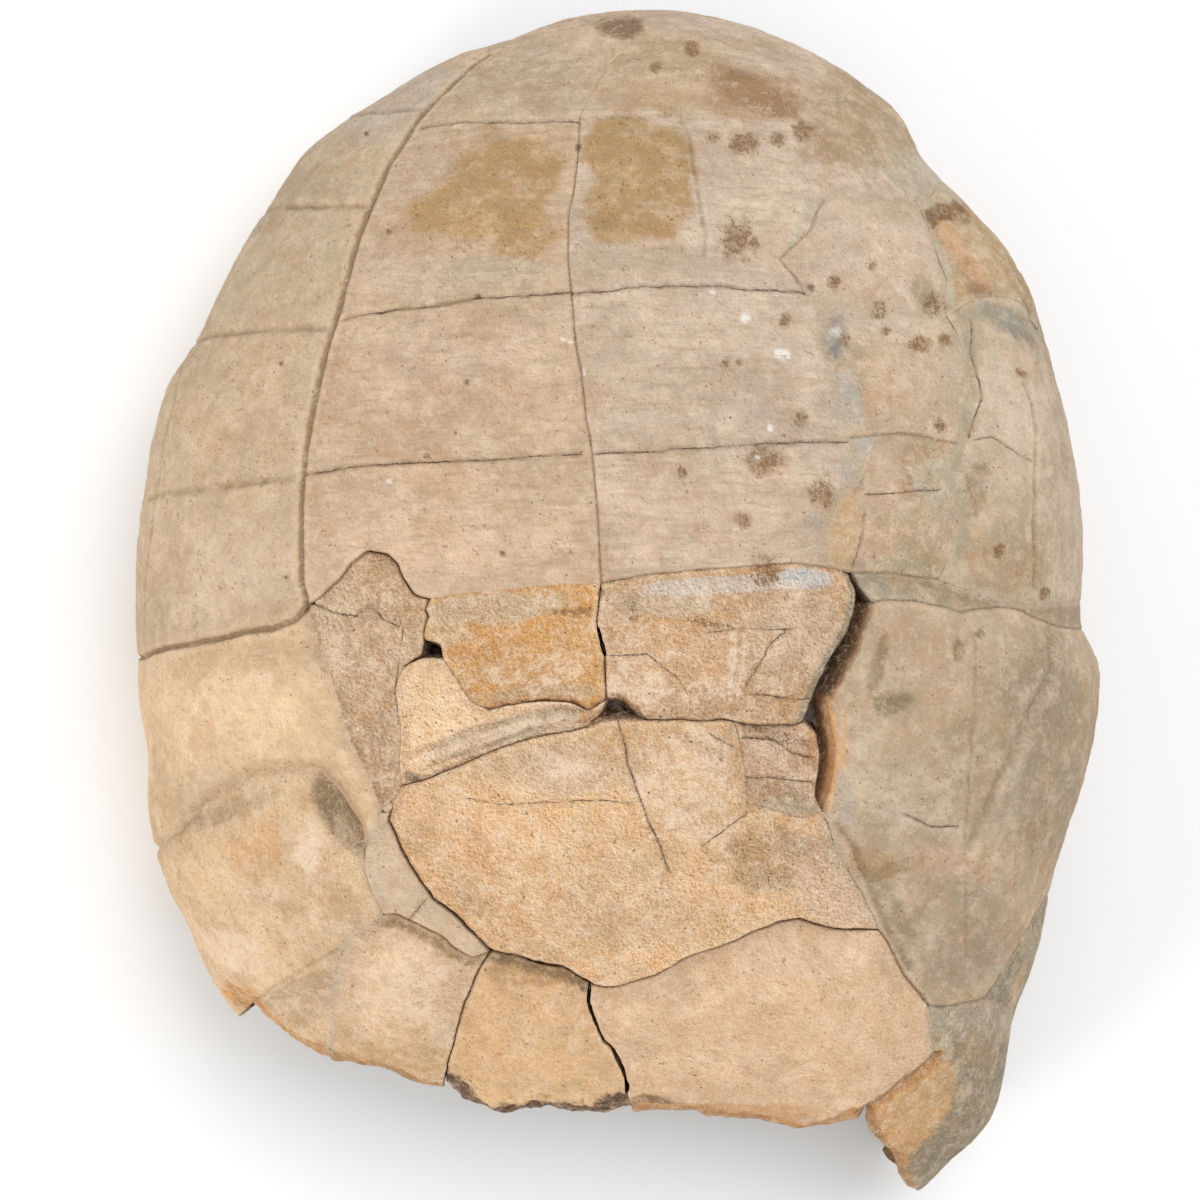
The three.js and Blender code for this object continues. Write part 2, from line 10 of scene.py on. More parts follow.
import bpy
import numpy as np
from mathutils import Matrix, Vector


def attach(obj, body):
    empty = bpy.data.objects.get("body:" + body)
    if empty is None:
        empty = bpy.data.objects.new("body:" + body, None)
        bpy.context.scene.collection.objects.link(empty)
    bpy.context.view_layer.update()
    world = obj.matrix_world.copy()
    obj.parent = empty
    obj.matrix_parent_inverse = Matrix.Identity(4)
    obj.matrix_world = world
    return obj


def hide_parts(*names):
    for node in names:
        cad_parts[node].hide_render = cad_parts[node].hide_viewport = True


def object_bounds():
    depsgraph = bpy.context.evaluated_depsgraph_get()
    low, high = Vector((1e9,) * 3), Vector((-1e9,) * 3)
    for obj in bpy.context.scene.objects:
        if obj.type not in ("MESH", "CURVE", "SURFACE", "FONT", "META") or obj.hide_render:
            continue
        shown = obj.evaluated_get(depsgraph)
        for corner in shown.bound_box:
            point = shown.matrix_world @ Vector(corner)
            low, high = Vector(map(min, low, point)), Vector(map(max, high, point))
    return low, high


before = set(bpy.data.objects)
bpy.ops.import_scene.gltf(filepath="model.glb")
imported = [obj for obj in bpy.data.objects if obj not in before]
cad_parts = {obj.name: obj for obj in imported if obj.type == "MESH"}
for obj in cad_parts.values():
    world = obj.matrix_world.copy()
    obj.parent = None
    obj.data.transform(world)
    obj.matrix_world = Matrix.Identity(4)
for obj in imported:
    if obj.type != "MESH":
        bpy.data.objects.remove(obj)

CAD_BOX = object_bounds()
LOG = logging.getLogger("carapace")
Triple = tuple[float, float, float]

METRES = 0.001
SHELL_WIDTH = 386.0
SHELL_HEIGHT = 165.0
LIMB_HEIGHT = 54.0
BONE = 12.0
WALL_TUCK = 7.0
HEAD_ARCH = 30.0
TAIL_ARCH = 50.0
PLAN_POWER = 2.25
DOME_POWER = 2.1
EYE_HEIGHT = 1000.0
PLAN_CENTRE = (600.0, 600.0)
PLAN_SIZE = 1200.0
DRAWN_WIDTH = 968.0
PIXEL = SHELL_WIDTH / DRAWN_WIDTH * EYE_HEIGHT / (EYE_HEIGHT - LIMB_HEIGHT)
FOOT = (6.75, -1.91)
WALL_SPAN = 0.3
RIM = 1.0 + WALL_SPAN
GRID_STEP = 2.5
MOST_CELLS = 43000
COARSE_CELLS = 44
COARSE_TURNS = 700
FINE_TURNS = 30
WALL_ROWS = 7
SKIN_DROP = 0.7
CAD_MARGIN = 0.02
CUT_STEP = 3.0
TINY = 1e-9
BATCH = 20000
TURN_STEPS = 1441
DOWN_STEPS = 600
ARC_STEPS = 80
MISSED = 6.0
ON_RIM = 0.8
FAR_SIDE = 40.0
LINE_REACH = 12.0
BUMP_DEPTH = 1.6
PORE_STEP = 5.0
GLOSS = 0.32
SENSOR = 36.0
AIM = (0.0, 0.0, 0.08)
LAMP_WHITE = (1.0, 1.0, 1.0)
LAMP_WARM = (1.0, 0.90, 0.78)
FLOOR_WHITE = (0.965, 0.98, 1.0, 1.0)
FLOOR_ROUGH = 0.95
NEAR_GAP = 30.0
NEAR_WALL = 12.0
EDGE_REACH = 60.0
JAG_SIZE = 26.0
GRAIN_SIZE = 1.3
GRAIN_SHADE = 0.3
SHARP_ANGLE = 52.0

LIMB_LINE = (
    "638,8 688,10 738,21 784,38 837,65 897,109 923,161 971,207 1006,245 1029,283 1052,364 1075,459 "
    "1084,555 1080,625 1102,665 1095,744 1083,789 1069,829 1052,876 1042,937 1011,1021 1006,1078 990,1128 "
    "952,1160 910,1206 862,1165 760,1165 600,1160 450,1132 325,1090 240,1022 203,963 187,921 164,881 "
    "153,849 151,753 136,657 134,600 143,494 166,386 199,337 222,283 268,207 306,149 383,96 455,54 513,38 "
    "566,17"
)

# Lumps and hollows of the bone: place, reach across, reach down in pixels, height in millimetres
RELIEF = (
    (250, 700, 90, 60, 5), (205, 800, 55, 34, -5), (290, 870, 75, 70, 6), (340, 822, 20, 36, -8),
    (300, 1005, 40, 24, -5), (420, 1010, 60, 50, 3), (540, 1040, 50, 45, 3), (760, 1020, 110, 70, 4),
    (600, 860, 150, 90, 4), (940, 720, 90, 90, 4), (520, 650, 70, 30, 3), (700, 650, 90, 45, 3),
    (965, 245, 22, 36, -5), (970, 480, 16, 60, -3), (450, 370, 120, 60, 2), (720, 370, 110, 60, 2),
    (460, 205, 70, 50, 2), (850, 130, 60, 60, -3),
)


def smoothstep(low: float, high: float, value: np.ndarray) -> np.ndarray:
    """Rise smoothly from 0 at low to 1 at high (also for high below low)."""
    share = np.clip((value - low) / (high - low), 0.0, 1.0)
    return share * share * (3.0 - 2.0 * share)


def linear(code: str) -> np.ndarray:
    """Turn a colour, written as a screen's hex code, into linear light."""
    screen = np.array(list(bytes.fromhex(code))) / 255.0
    return np.where(screen <= 0.04045, screen / 12.92, ((screen + 0.055) / 1.055) ** 2.4)


def track(text: str) -> np.ndarray:
    """The points of a drawn line, written as "x,y x,y" in photograph pixels."""
    return np.array([pair.split(",") for pair in text.split()], dtype=float)


class Grain:
    """Seeded noise in space: random values on a cubic lattice, joined by smooth curves."""

    @staticmethod
    def lattice(cell: np.ndarray, seed: int) -> np.ndarray:
        """Scramble whole cell numbers into values from 0 to 1.

        Args:
            cell: whole numbers, shape (..., 3).
            seed: which pattern.

        Returns:
            One value a cell.
        """
        word = cell.astype(np.int64).astype(np.uint32)
        mixed = word[..., 0] * np.uint32(374761393) + word[..., 1] * np.uint32(668265263)
        mixed = mixed + word[..., 2] * np.uint32(2147483647) + np.uint32(seed * 2654435 % 4294967295)
        mixed = (mixed ^ (mixed >> np.uint32(13))) * np.uint32(1274126177)
        mixed = (mixed ^ (mixed >> np.uint32(15))) * np.uint32(2246822519)
        return (mixed ^ (mixed >> np.uint32(16))).astype(np.float64) / 4294967295.0

    @staticmethod
    def value(points: np.ndarray, size: float, seed: int) -> np.ndarray:
        """Noise from -1 to 1 whose lumps are about `size` across.

        Formula: the eight corners of a point's cell are blended by quintic weights along each axis.
        """
        scaled = points / size + 57.3
        cell = np.floor(scaled)
        part = scaled - cell
        weight = part ** 3 * (part * (part * 6.0 - 15.0) + 10.0)
        total = np.zeros(points.shape[:-1])
        for corner in range(8):
            offset = np.array([corner & 1, corner >> 1 & 1, corner >> 2 & 1], dtype=np.float64)
            share = np.prod(np.where(offset > 0, weight, 1.0 - weight), axis=-1)
            total += share * Grain.lattice(cell + offset, seed)
        return total * 2.0 - 1.0

    @staticmethod
    def layered(points: np.ndarray, size: float, seed: int, layers: int = 4, keep: float = 0.5) -> np.ndarray:
        """Add layers of noise, each half as large and `keep` as strong as the one before."""
        total = np.zeros(points.shape[:-1])
        strength = 1.0
        weight = 0.0
        for layer in range(layers):
            total += strength * Grain.value(points, size / 2.0 ** layer, seed + 17 * layer)
            weight += strength
            strength *= keep
        return total / weight


class Shell:
    """The unbroken dome: drawing, skin plane and space, and the ways between them."""

    def __init__(self) -> None:
        """Tabulate the limb line round the plan and the arc length down the dome."""
        corners = track(LIMB_LINE)
        across = corners[:, 0] - PLAN_CENTRE[0]
        back = PLAN_CENTRE[1] - corners[:, 1]
        angles = np.arctan2(back, across) % (2.0 * np.pi)
        order = np.argsort(angles)
        self.turns = np.linspace(0.0, 2.0 * np.pi, TURN_STEPS)[:-1]
        reach = np.interp(self.turns, angles[order], np.hypot(across, back)[order], period=2.0 * np.pi)
        spread = np.exp(-0.5 * (np.arange(-16, 17) / 5.0) ** 2)
        wrapped = np.concatenate([reach[-16:], reach, reach[:16]])
        self.reach = np.convolve(wrapped, spread / spread.sum(), mode="valid")
        self.downs = np.linspace(0.0, RIM, DOWN_STEPS)
        mean_reach = float(self.reach.mean())
        out, rise = self.section(self.downs)
        height = LIMB_HEIGHT + (SHELL_HEIGHT - LIMB_HEIGHT) * rise
        height = np.where(self.downs > 1.0, LIMB_HEIGHT * (RIM - self.downs) / WALL_SPAN, height)
        radius = out * mean_reach * PIXEL * (EYE_HEIGHT - height) / EYE_HEIGHT
        steps = np.hypot(np.diff(radius), np.diff(height)) / PIXEL / mean_reach
        self.arcs = np.concatenate([[0.0], np.cumsum(steps)])

    @staticmethod
    def section(down: np.ndarray) -> tuple[np.ndarray, np.ndarray]:
        """The oval section: share of the way out, and share of the height above the limb."""
        tilt = np.minimum(down, 1.0) * np.pi / 2.0
        return np.sin(tilt) ** (2.0 / PLAN_POWER), np.maximum(np.cos(tilt), 0.0) ** (2.0 / DOME_POWER)

    def limb(self, angle: np.ndarray) -> np.ndarray:
        """Pixels from the plan's centre to the limb at an angle."""
        return np.interp(angle % (2.0 * np.pi), self.turns, self.reach, period=2.0 * np.pi)

    def to_skin(self, drawn: np.ndarray) -> np.ndarray:
        """Move drawn pixels to the skin plane, where the dome and wall lie unrolled from the apex."""
        across = drawn[..., 0] - PLAN_CENTRE[0]
        back = PLAN_CENTRE[1] - drawn[..., 1]
        angle = np.arctan2(back, across)
        limb = self.limb(angle)
        out = np.minimum(np.hypot(across, back) / limb, 1.0)
        down = np.arcsin(out ** (PLAN_POWER / 2.0)) / (np.pi / 2.0)
        return self.polar_skin(angle, down)

    def polar_skin(self, angle: np.ndarray, down: np.ndarray) -> np.ndarray:
        """The skin plane's place for an angle and a way down."""
        radius = np.interp(down, self.downs, self.arcs) * self.limb(angle)
        return np.stack([radius * np.cos(angle), radius * np.sin(angle)], axis=-1)

    def from_skin(self, skin: np.ndarray) -> tuple[np.ndarray, np.ndarray]:
        """The angle and the way down of a place on the skin plane."""
        angle = np.arctan2(skin[..., 1], skin[..., 0])
        ratio = np.hypot(skin[..., 0], skin[..., 1]) / self.limb(angle)
        return angle, np.interp(ratio, self.arcs, self.downs)

    def drawn(self, angle: np.ndarray, down: np.ndarray) -> np.ndarray:
        """Drawn pixels of a place; the hidden wall is drawn on beyond the limb."""
        out, _ = self.section(down)
        radius = (out + np.maximum(down - 1.0, 0.0)) * self.limb(angle)
        across, back = radius * np.cos(angle), radius * np.sin(angle)
        return np.stack([PLAN_CENTRE[0] + across, PLAN_CENTRE[1] - back], axis=-1)

    def rim_height(self, angle: np.ndarray) -> np.ndarray:
        """Height of the wall's lower edge: level at the sides, arched at the head and tail."""
        degrees = np.degrees(angle % (2.0 * np.pi))
        ahead = smoothstep(0.72, 1.0, np.sin(angle))
        climb = smoothstep(208.0, 230.0, degrees)
        drop = smoothstep(294.0, 298.0, degrees)
        return HEAD_ARCH * ahead + TAIL_ARCH * climb * (1.0 - drop)

    def place(self, skin: np.ndarray, lift: float | np.ndarray = 0.0) -> np.ndarray:
        """The outer face in space, in millimetres.

        Formula: the oval section gives a height, lumps are added, the drawn place is carried along the
        line of sight to that height, and below the limb the wall drops straight to its rim.

        Args:
            skin: places on the skin plane, shape (..., 2).
            lift: how far this plate stands above its neighbours, for all of it or point by point.

        Returns:
            Points, shape (..., 3).
        """
        angle, down = self.from_skin(skin)
        out, rise = self.section(down)
        radius = out * self.limb(angle)
        px = PLAN_CENTRE[0] + radius * np.cos(angle)
        py = PLAN_CENTRE[1] - radius * np.sin(angle)
        lumps = np.zeros(px.shape) + lift
        for cx, cy, reach_x, reach_y, height in RELIEF:
            lumps += height * np.exp(-(((px - cx) / reach_x) ** 2) - ((py - cy) / reach_y) ** 2)
        dome = LIMB_HEIGHT + (SHELL_HEIGHT - LIMB_HEIGHT) * rise + lumps * np.minimum(1.0, 3.0 * rise)
        sight = PIXEL * (EYE_HEIGHT - dome) / EYE_HEIGHT
        share = np.clip((down - 1.0) / WALL_SPAN, 0.0, 1.0)
        tuck = WALL_TUCK * share ** 2
        x = (px - PLAN_CENTRE[0]) * sight - FOOT[0] - tuck * np.cos(angle)
        y = (PLAN_CENTRE[1] - py) * sight - FOOT[1] - tuck * np.sin(angle)
        z = dome + (self.rim_height(angle) - dome) * share
        return np.stack([x, y, z], axis=-1)

    def outward(self, skin: np.ndarray) -> np.ndarray:
        """Outward unit normals, from differences of the face along the skin plane's two axes."""
        step_x = np.array([2.0, 0.0])
        step_y = np.array([0.0, 2.0])
        along = self.place(skin + step_x) - self.place(skin - step_x)
        over = self.place(skin + step_y) - self.place(skin - step_y)
        normal = np.cross(along, over)
        return normal / np.maximum(np.linalg.norm(normal, axis=-1, keepdims=True), TINY)


SHELL = Shell()


class Edge(Enum):
    """How a break looks: half its open width in pixels, depth in millimetres, reach of its worn edge in
    pixels, how dark its line is (which also sets the painted shade and painted highlight beside it), how far
    in from it the plates are brought level, how far its foot stands out under a hole in millimetres, and how
    bright its wall is painted: below 1 a painted shade for the dark depth of a gap or hole, above 1 a painted
    highlight."""

    TIGHT = (0.0, 0.5, 1.4, 0.5, 0.0, 0.0, 0.9)
    FILLED = (0.0, 0.2, 6.0, 0.0, 14.0, 0.0, 1.0)
    WORN = (0.0, 0.5, 2.6, 0.4, 9.0, 0.0, 1.0)
    CRISP = (0.25, 0.7, 1.4, 0.9, 0.0, 0.3, 0.6)
    SEAM = (0.0, 0.6, 2.0, 0.5, 10.0, 0.0, 1.0)
    FAINT = (0.0, 0.2, 3.0, 0.1, 30.0, 0.0, 1.0)
    SUTURE = (0.0, 1.2, 5.0, 0.05, 16.0, 0.0, 1.0)
    OPEN = (1.3, 0.9, 2.0, 0.9, 0.0, 0.7, 0.4)
    LEDGE = (0.15, 0.7, 1.4, 0.7, 0.0, 0.2, 0.7)
    GAPING = (0.2, 1.1, 2.5, 0.8, 0.0, 3.2, 0.55)
    LIT = (0.2, 0.8, 1.8, 0.5, 0.0, 3.2, 1.2)
    HOLE = (0.6, 0.8, 2.0, 0.8, 0.0, 3.2, 0.12)
    SOFT = (0.0, 1.6, 11.0, 0.0, 30.0, 0.0, 1.0)

    def __init__(self, gap: float, depth: float, reach: float, dark: float, levelled: float, flare: float,
                 wall: float) -> None:
        """Name the measures of the kind."""
        self.gap, self.depth, self.reach, self.dark = gap, depth, reach, dark
        self.levelled, self.flare, self.wall = levelled, flare, wall


@dataclass(frozen=True)
class Line:
    """A drawn break: points in photograph pixels; an end at the rim runs on down the side wall."""

    points: str
    edge: Edge
    jag: float
    seed: int
    rim_start: bool = False
    rim_end: bool = False

    def skin(self) -> np.ndarray:
        """The break on the skin plane.

        Formula: straight stretches are cut every few pixels and pushed sideways by layered noise that
        fades to nothing at the two ends, so that neighbours share one ragged line.
        """
        raw = SHELL.to_skin(track(self.points))
        if self.rim_start:
            raw = np.vstack([self.rim_point(0), raw])
        if self.rim_end:
            raw = np.vstack([raw, self.rim_point(-1)])
        path = resample(raw, max(4, int(path_length(raw) / CUT_STEP)))
        ahead = np.gradient(path, axis=0)
        side = np.stack([-ahead[:, 1], ahead[:, 0]], axis=-1)
        side /= np.maximum(np.linalg.norm(side, axis=1, keepdims=True), TINY)
        where = np.column_stack([path, np.zeros(len(path))])
        push = Grain.layered(where, JAG_SIZE, self.seed, 4, 0.6) * self.jag * 2.2
        share = np.linspace(0.0, 1.0, len(path))
        return path + side * (push * np.minimum(1.0, 8.0 * np.minimum(share, 1.0 - share)))[:, None]

    def rim_point(self, index: int) -> np.ndarray:
        """The foot of the wall straight below one end."""
        px, py = track(self.points)[index]
        angle = np.arctan2(PLAN_CENTRE[1] - py, px - PLAN_CENTRE[0])
        return SHELL.polar_skin(np.array([angle]), np.array([RIM]))


@dataclass(frozen=True)
class RimArc:
    """A stretch of the wall's lower edge between the feet of two breaks."""

    start: tuple[float, float]
    end: tuple[float, float]
    clockwise: bool = True
    edge: Edge = Edge.TIGHT

    def skin(self) -> np.ndarray:
        """The stretch on the skin plane, at the rim's way down."""
        first, last = (
            float(np.arctan2(PLAN_CENTRE[1] - py, px - PLAN_CENTRE[0])) for px, py in (self.start, self.end)
        )
        if self.clockwise and last > first:
            last -= 2.0 * np.pi
        if not self.clockwise and last < first:
            last += 2.0 * np.pi
        angle = np.linspace(first, last, ARC_STEPS)
        return SHELL.polar_skin(angle, np.full(angle.shape, RIM))


def path_length(path: np.ndarray) -> float:
    """Length of an open path."""
    return float(np.linalg.norm(np.diff(path, axis=0), axis=1).sum())


def resample(path: np.ndarray, count: int) -> np.ndarray:
    """Points at even steps along a path."""
    steps = np.concatenate([[0.0], np.cumsum(np.linalg.norm(np.diff(path, axis=0), axis=1))])
    wanted = np.linspace(0.0, steps[-1], count)
    return np.stack([np.interp(wanted, steps, path[:, axis]) for axis in range(path.shape[1])], axis=-1)


def line_distance(points: np.ndarray, path: np.ndarray, limit: float) -> np.ndarray:
    """Signed distance to a path, positive on its left, and at most `limit`.

    Formula: each point is dropped on every stretch of the path, and the nearest foot gives the distance.
    """
    flat = points.reshape(-1, 2)
    result = np.full(len(flat), limit)
    low = path.min(axis=0) - limit
    high = path.max(axis=0) + limit
    near = np.flatnonzero(np.all((flat > low) & (flat < high), axis=1))
    for start in range(0, len(near), BATCH):
        chosen = near[start:start + BATCH]
        base = path[:-1]
        along = path[1:] - base
        away = flat[chosen][:, None, :] - base[None]
        share = np.clip((away * along).sum(-1) / np.maximum((along ** 2).sum(-1), TINY), 0.0, 1.0)
        gap = away - share[..., None] * along
        reach = np.linalg.norm(gap, axis=-1)
        best = reach.argmin(axis=1)
        row = np.arange(len(chosen))
        cross = along[best, 0] * away[row, best, 1] - along[best, 1] * away[row, best, 0]
        result[chosen] = np.where(cross < 0.0, -1.0, 1.0) * np.minimum(reach[row, best], limit)
    return result.reshape(points.shape[:-1])


BREAKS: dict[str, Line | RimArc] = {
    "left_suture": Line(
        "488,53 469,66 448,87 423,110 404,139 388,163 373,198 358,234 346,277 336,314 327,343 319,376 "
        "311,410 306,443 302,475 300,510 300,580 306,605", Edge.SUTURE, 0.35, 11),
    "suture_drop": Line("488,53", Edge.FAINT, 0.3, 10, rim_end=True),
    "left_suture_low": Line(
        "306,605 310,629 320,656 332,689 338,713 349,744 361,768 371,791 379,813", Edge.SOFT, 0.5, 12),
    "left_break": Line(
        "306,605 295,619 271,629 242,632 212,640 171,647 142,657", Edge.SUTURE, 0.7, 13, rim_end=True),
    "corner_top": Line(
        "363,850 357,825 344,805 336,791 324,780 316,770 293,769 267,768 251,772 225,786 200,800 176,830 "
        "153,849", Edge.SOFT, 1.0, 14, rim_end=True),
    "midline_head": Line("631,42 606,67 590,92 579,115", Edge.FAINT, 0.5, 9, rim_start=True),
    "midline": Line(
        "579,115 578,145 576,168 573,191 568,210 567,256 569,277 571,292 575,342 581,374 586,419 592,454 "
        "595,485 598,525 601,583", Edge.SEAM, 0.4, 15),
    "midline_upper_part": Line("601,583 599,607 597,622 598,628", Edge.CRISP, 0.6, 16),
    "midline_slot": Line("598,628 601,640 605,655", Edge.OPEN, 0.5, 8),
    "midline_lower_part": Line("605,655 605,671 607,700", Edge.CRISP, 0.6, 7),
    "left_ledge": Line(
        "306,605 320,597 328,589 340,578 350,563 367,550 386,554 397,563 406,582 414,595 429,599",
        Edge.LEDGE, 1.0, 17),
    "left_cross": Line("429,599 451,595 502,590 560,585 601,583", Edge.FAINT, 0.6, 18),
    "right_cross": Line("601,583 642,575 703,570 754,566 795,563 828,567", Edge.SEAM, 0.7, 19),
    "shoulder_left": Line("806,292 794,272 780,258 800,240 811,227 817,211 825,199", Edge.WORN, 1.3, 20),
    "shoulder_top": Line("825,199 835,194 847,198 862,200 882,201 903,203 922,209", Edge.FILLED, 1.2, 21),
    "shoulder_right": Line("922,209 933,238 941,260 949,278 945,300 948,316", Edge.FILLED, 1.4, 22),
    "shoulder_foot": Line("806,292 823,301 850,305 882,309 911,312 948,316", Edge.FILLED, 1.4, 23),
    "shoulder_out": Line("922,209 936,190 944,178", Edge.FILLED, 0.8, 24, rim_end=True),
    "margin_ledge": Line(
        "948,316 968,302 992,297 1019,301 1031,317 1047,342", Edge.FILLED, 1.2, 25, rim_end=True),
    "side_upper_left": Line("806,292 820,312 822,340 830,372 838,400 850,438", Edge.FILLED, 1.8, 26),
    "side_upper_right": Line("948,316 958,333 964,350 966,376 962,405 960,444", Edge.FILLED, 1.2, 27),
    "side_upper_foot": Line("850,438 878,434 902,433 923,435 943,441 960,444", Edge.WORN, 0.9, 28),
    "side_middle_left": Line("850,438 862,470 853,486 840,500 826,535 828,567", Edge.FILLED, 1.3, 29),
    "side_middle_right": Line(
        "960,444 950,465 947,485 958,505 962,530 950,556 940,579", Edge.FILLED, 1.4, 30),
    "side_middle_foot": Line("853,573 886,573 926,578 940,579", Edge.WORN, 0.8, 31),
    "tan_strip_foot": Line("828,567 840,570 853,573", Edge.WORN, 0.5, 32),
    "band_top": Line(
        "940,579 960,587 985,592 1010,600 1035,603 1060,602 1082,602", Edge.FILLED, 1.2, 33, rim_end=True),
    "band_foot": Line(
        "872,602 891,600 922,602 951,609 963,613 977,609 1004,608 1024,610 1044,621 1060,627 1082,628",
        Edge.WORN, 0.9, 34, rim_end=True),
    "band_end": Line("853,573 862,588 872,602", Edge.TIGHT, 0.8, 35),
    "middle_right_edge": Line(
        "853,573 860,592 859,608 850,632 834,660 817,694 806,722", Edge.GAPING, 0.9, 36),
    "flank_edge": Line("872,602 866,620 857,646 843,678 828,700", Edge.GAPING, 1.0, 37),
    "flank_edge_lit": Line("828,700 833,723 836,742 835,770 829,795 824,812", Edge.LIT, 1.2, 6),
    "flank_edge_low": Line("824,812 836,846 845,864 857,880 868,905 880,930", Edge.FILLED, 1.2, 38),
    "flank_foot": Line(
        "931,1007 950,1007 967,1003 987,999 1009,964 1022,942 1037,914 1048,893",
        Edge.WORN, 0.9, 39, rim_end=True),
    "block_edge": Line("806,722 818,733 821,752 819,775 817,795 824,812", Edge.LIT, 1.2, 40),
    "block_top": Line("735,722 760,725 780,726 806,722", Edge.TIGHT, 0.9, 41),
    "block_left": Line("735,722 743,748 747,778 748,804", Edge.WORN, 1.5, 42),
    "block_foot": Line("748,804 764,807 784,813 804,818 824,812", Edge.WORN, 1.0, 43),
    "middle_right_foot": Line("735,722 720,720 706,722 678,720 639,720", Edge.CRISP, 0.7, 44),
    "middle_right_nose": Line("639,720 629,709 621,701 607,700", Edge.GAPING, 0.8, 45),
    "middle_left_foot": Line("607,700 596,706 588,711 570,702 543,701 523,703 488,711", Edge.WORN, 0.7, 46),
    "diagonal_crack": Line("488,711 474,703 466,695 455,678 441,658", Edge.SEAM, 0.9, 47),
    "middle_left_edge": Line("429,599 424,609 428,616 425,624 423,634 424,640", Edge.LEDGE, 0.8, 48),
    "hole_top": Line("424,640 439,644 441,658", Edge.HOLE, 0.7, 49),
    "hole_foot": Line("441,658 428,657 415,660 404,666", Edge.HOLE, 0.7, 50),
    "hole_left": Line("424,640 420,655 404,666", Edge.HOLE, 0.7, 51),
    "wedge_left": Line("404,666 397,678 395,691 398,713 401,728 399,764 401,786", Edge.WORN, 0.8, 52),
    "wedge_foot": Line(
        "401,786 421,781 447,771 472,760 502,748 533,738 564,733 590,727", Edge.CRISP, 0.8, 53),
    "wedge_tip": Line("607,700 601,716 590,727", Edge.GAPING, 0.7, 54),
    "lower_top": Line("590,727 601,722 612,721 639,720", Edge.GAPING, 0.7, 55),
    "lower_corner": Line("401,786 394,798 390,811", Edge.WORN, 0.6, 56),
    "strip_top": Line("379,813 384,813 390,811", Edge.WORN, 0.6, 57),
    "strip_left": Line("379,813 374,834 363,850", Edge.FILLED, 0.8, 58),
    "strip_left_low": Line("363,850 364,873 372,895 383,916", Edge.WORN, 1.2, 59),
    "strip_foot": Line("383,916 397,916 418,925 441,937 453,949 473,958 490,953", Edge.CRISP, 0.9, 60),
    "lower_edge_left": Line(
        "390,811 387,820 393,832 403,857 416,877 432,900 457,919 477,938 490,953", Edge.LEDGE, 0.6, 61),
    "lower_edge_centre": Line("490,953 514,957 543,966 563,970 590,985", Edge.OPEN, 0.7, 62),
    "lower_edge_right": Line(
        "590,985 604,988 616,987 635,982 655,976 686,958 706,951 733,943 755,931 780,922 800,919 816,924 "
        "835,929 857,929 880,930", Edge.CRISP, 0.8, 63),
    "corner_edge": Line(
        "383,916 372,926 360,934 350,940 342,953 339,969 336,984 332,1004 330,1040 326,1068",
        Edge.FILLED, 1.1, 64),
    "corner_rim": Line("326,1068 318,1067 291,1050 260,1025 245,1009", Edge.TIGHT, 1.5, 65),
    "corner_drop": Line("245,1009", Edge.TIGHT, 0.6, 66, rim_end=True),
    "left_rim_crack": Line(
        "490,953 482,965 475,978 465,1002 456,1033 449,1058 442,1096", Edge.CRISP, 0.9, 67),
    "left_rim": Line("442,1096 421,1094 403,1086 383,1078 344,1069 326,1068", Edge.TIGHT, 1.3, 68),
    "right_rim_crack": Line(
        "590,985 588,1002 592,1015 604,1043 612,1050 618,1062 625,1078 631,1119", Edge.OPEN, 0.9, 69),
    "centre_rim": Line(
        "631,1119 602,1128 566,1126 547,1121 522,1124 498,1131 482,1122 459,1113 442,1096",
        Edge.TIGHT, 1.2, 70),
    "right_rim": Line(
        "631,1119 657,1118 696,1117 707,1124 761,1128 800,1136 828,1133 853,1126 862,1119",
        Edge.TIGHT, 1.2, 71),
    "rim_flank_crack": Line("880,930 892,947 907,975 917,988 931,1007", Edge.CRISP, 0.9, 72),
    "fragment_side": Line("931,1007 931,1027 931,1040 937,1060", Edge.FILLED, 0.9, 73),
    "fragment_edge": Line("937,1060 923,1073 907,1085 890,1097 872,1109 862,1119", Edge.LEDGE, 1.0, 74),
    "fragment_rim": Line(
        "862,1119 864,1136 879,1151 893,1163 897,1182 903,1190", Edge.TIGHT, 1.2, 75, rim_end=True),
    "arc_left_head": RimArc((360, 86), (488, 53)),
    "arc_left_side": RimArc((360, 86), (142, 657), clockwise=False),
    "arc_left_tail": RimArc((142, 657), (153, 849), clockwise=False),
    "arc_corner": RimArc((153, 849), (245, 1009), clockwise=False),
    "arc_head": RimArc((488, 53), (631, 42)),
    "arc_shoulder": RimArc((631, 42), (944, 178)),
    "arc_margin_upper": RimArc((944, 178), (1047, 342)),
    "arc_margin_lower": RimArc((1047, 342), (1082, 602)),
    "arc_band": RimArc((1082, 602), (1082, 628)),
    "arc_flank": RimArc((1082, 628), (1048, 893)),
    "arc_fragment": RimArc((1048, 893), (903, 1190)),
}

MIDLINE_LOW = ("midline_upper_part", "midline_slot", "midline_lower_part")


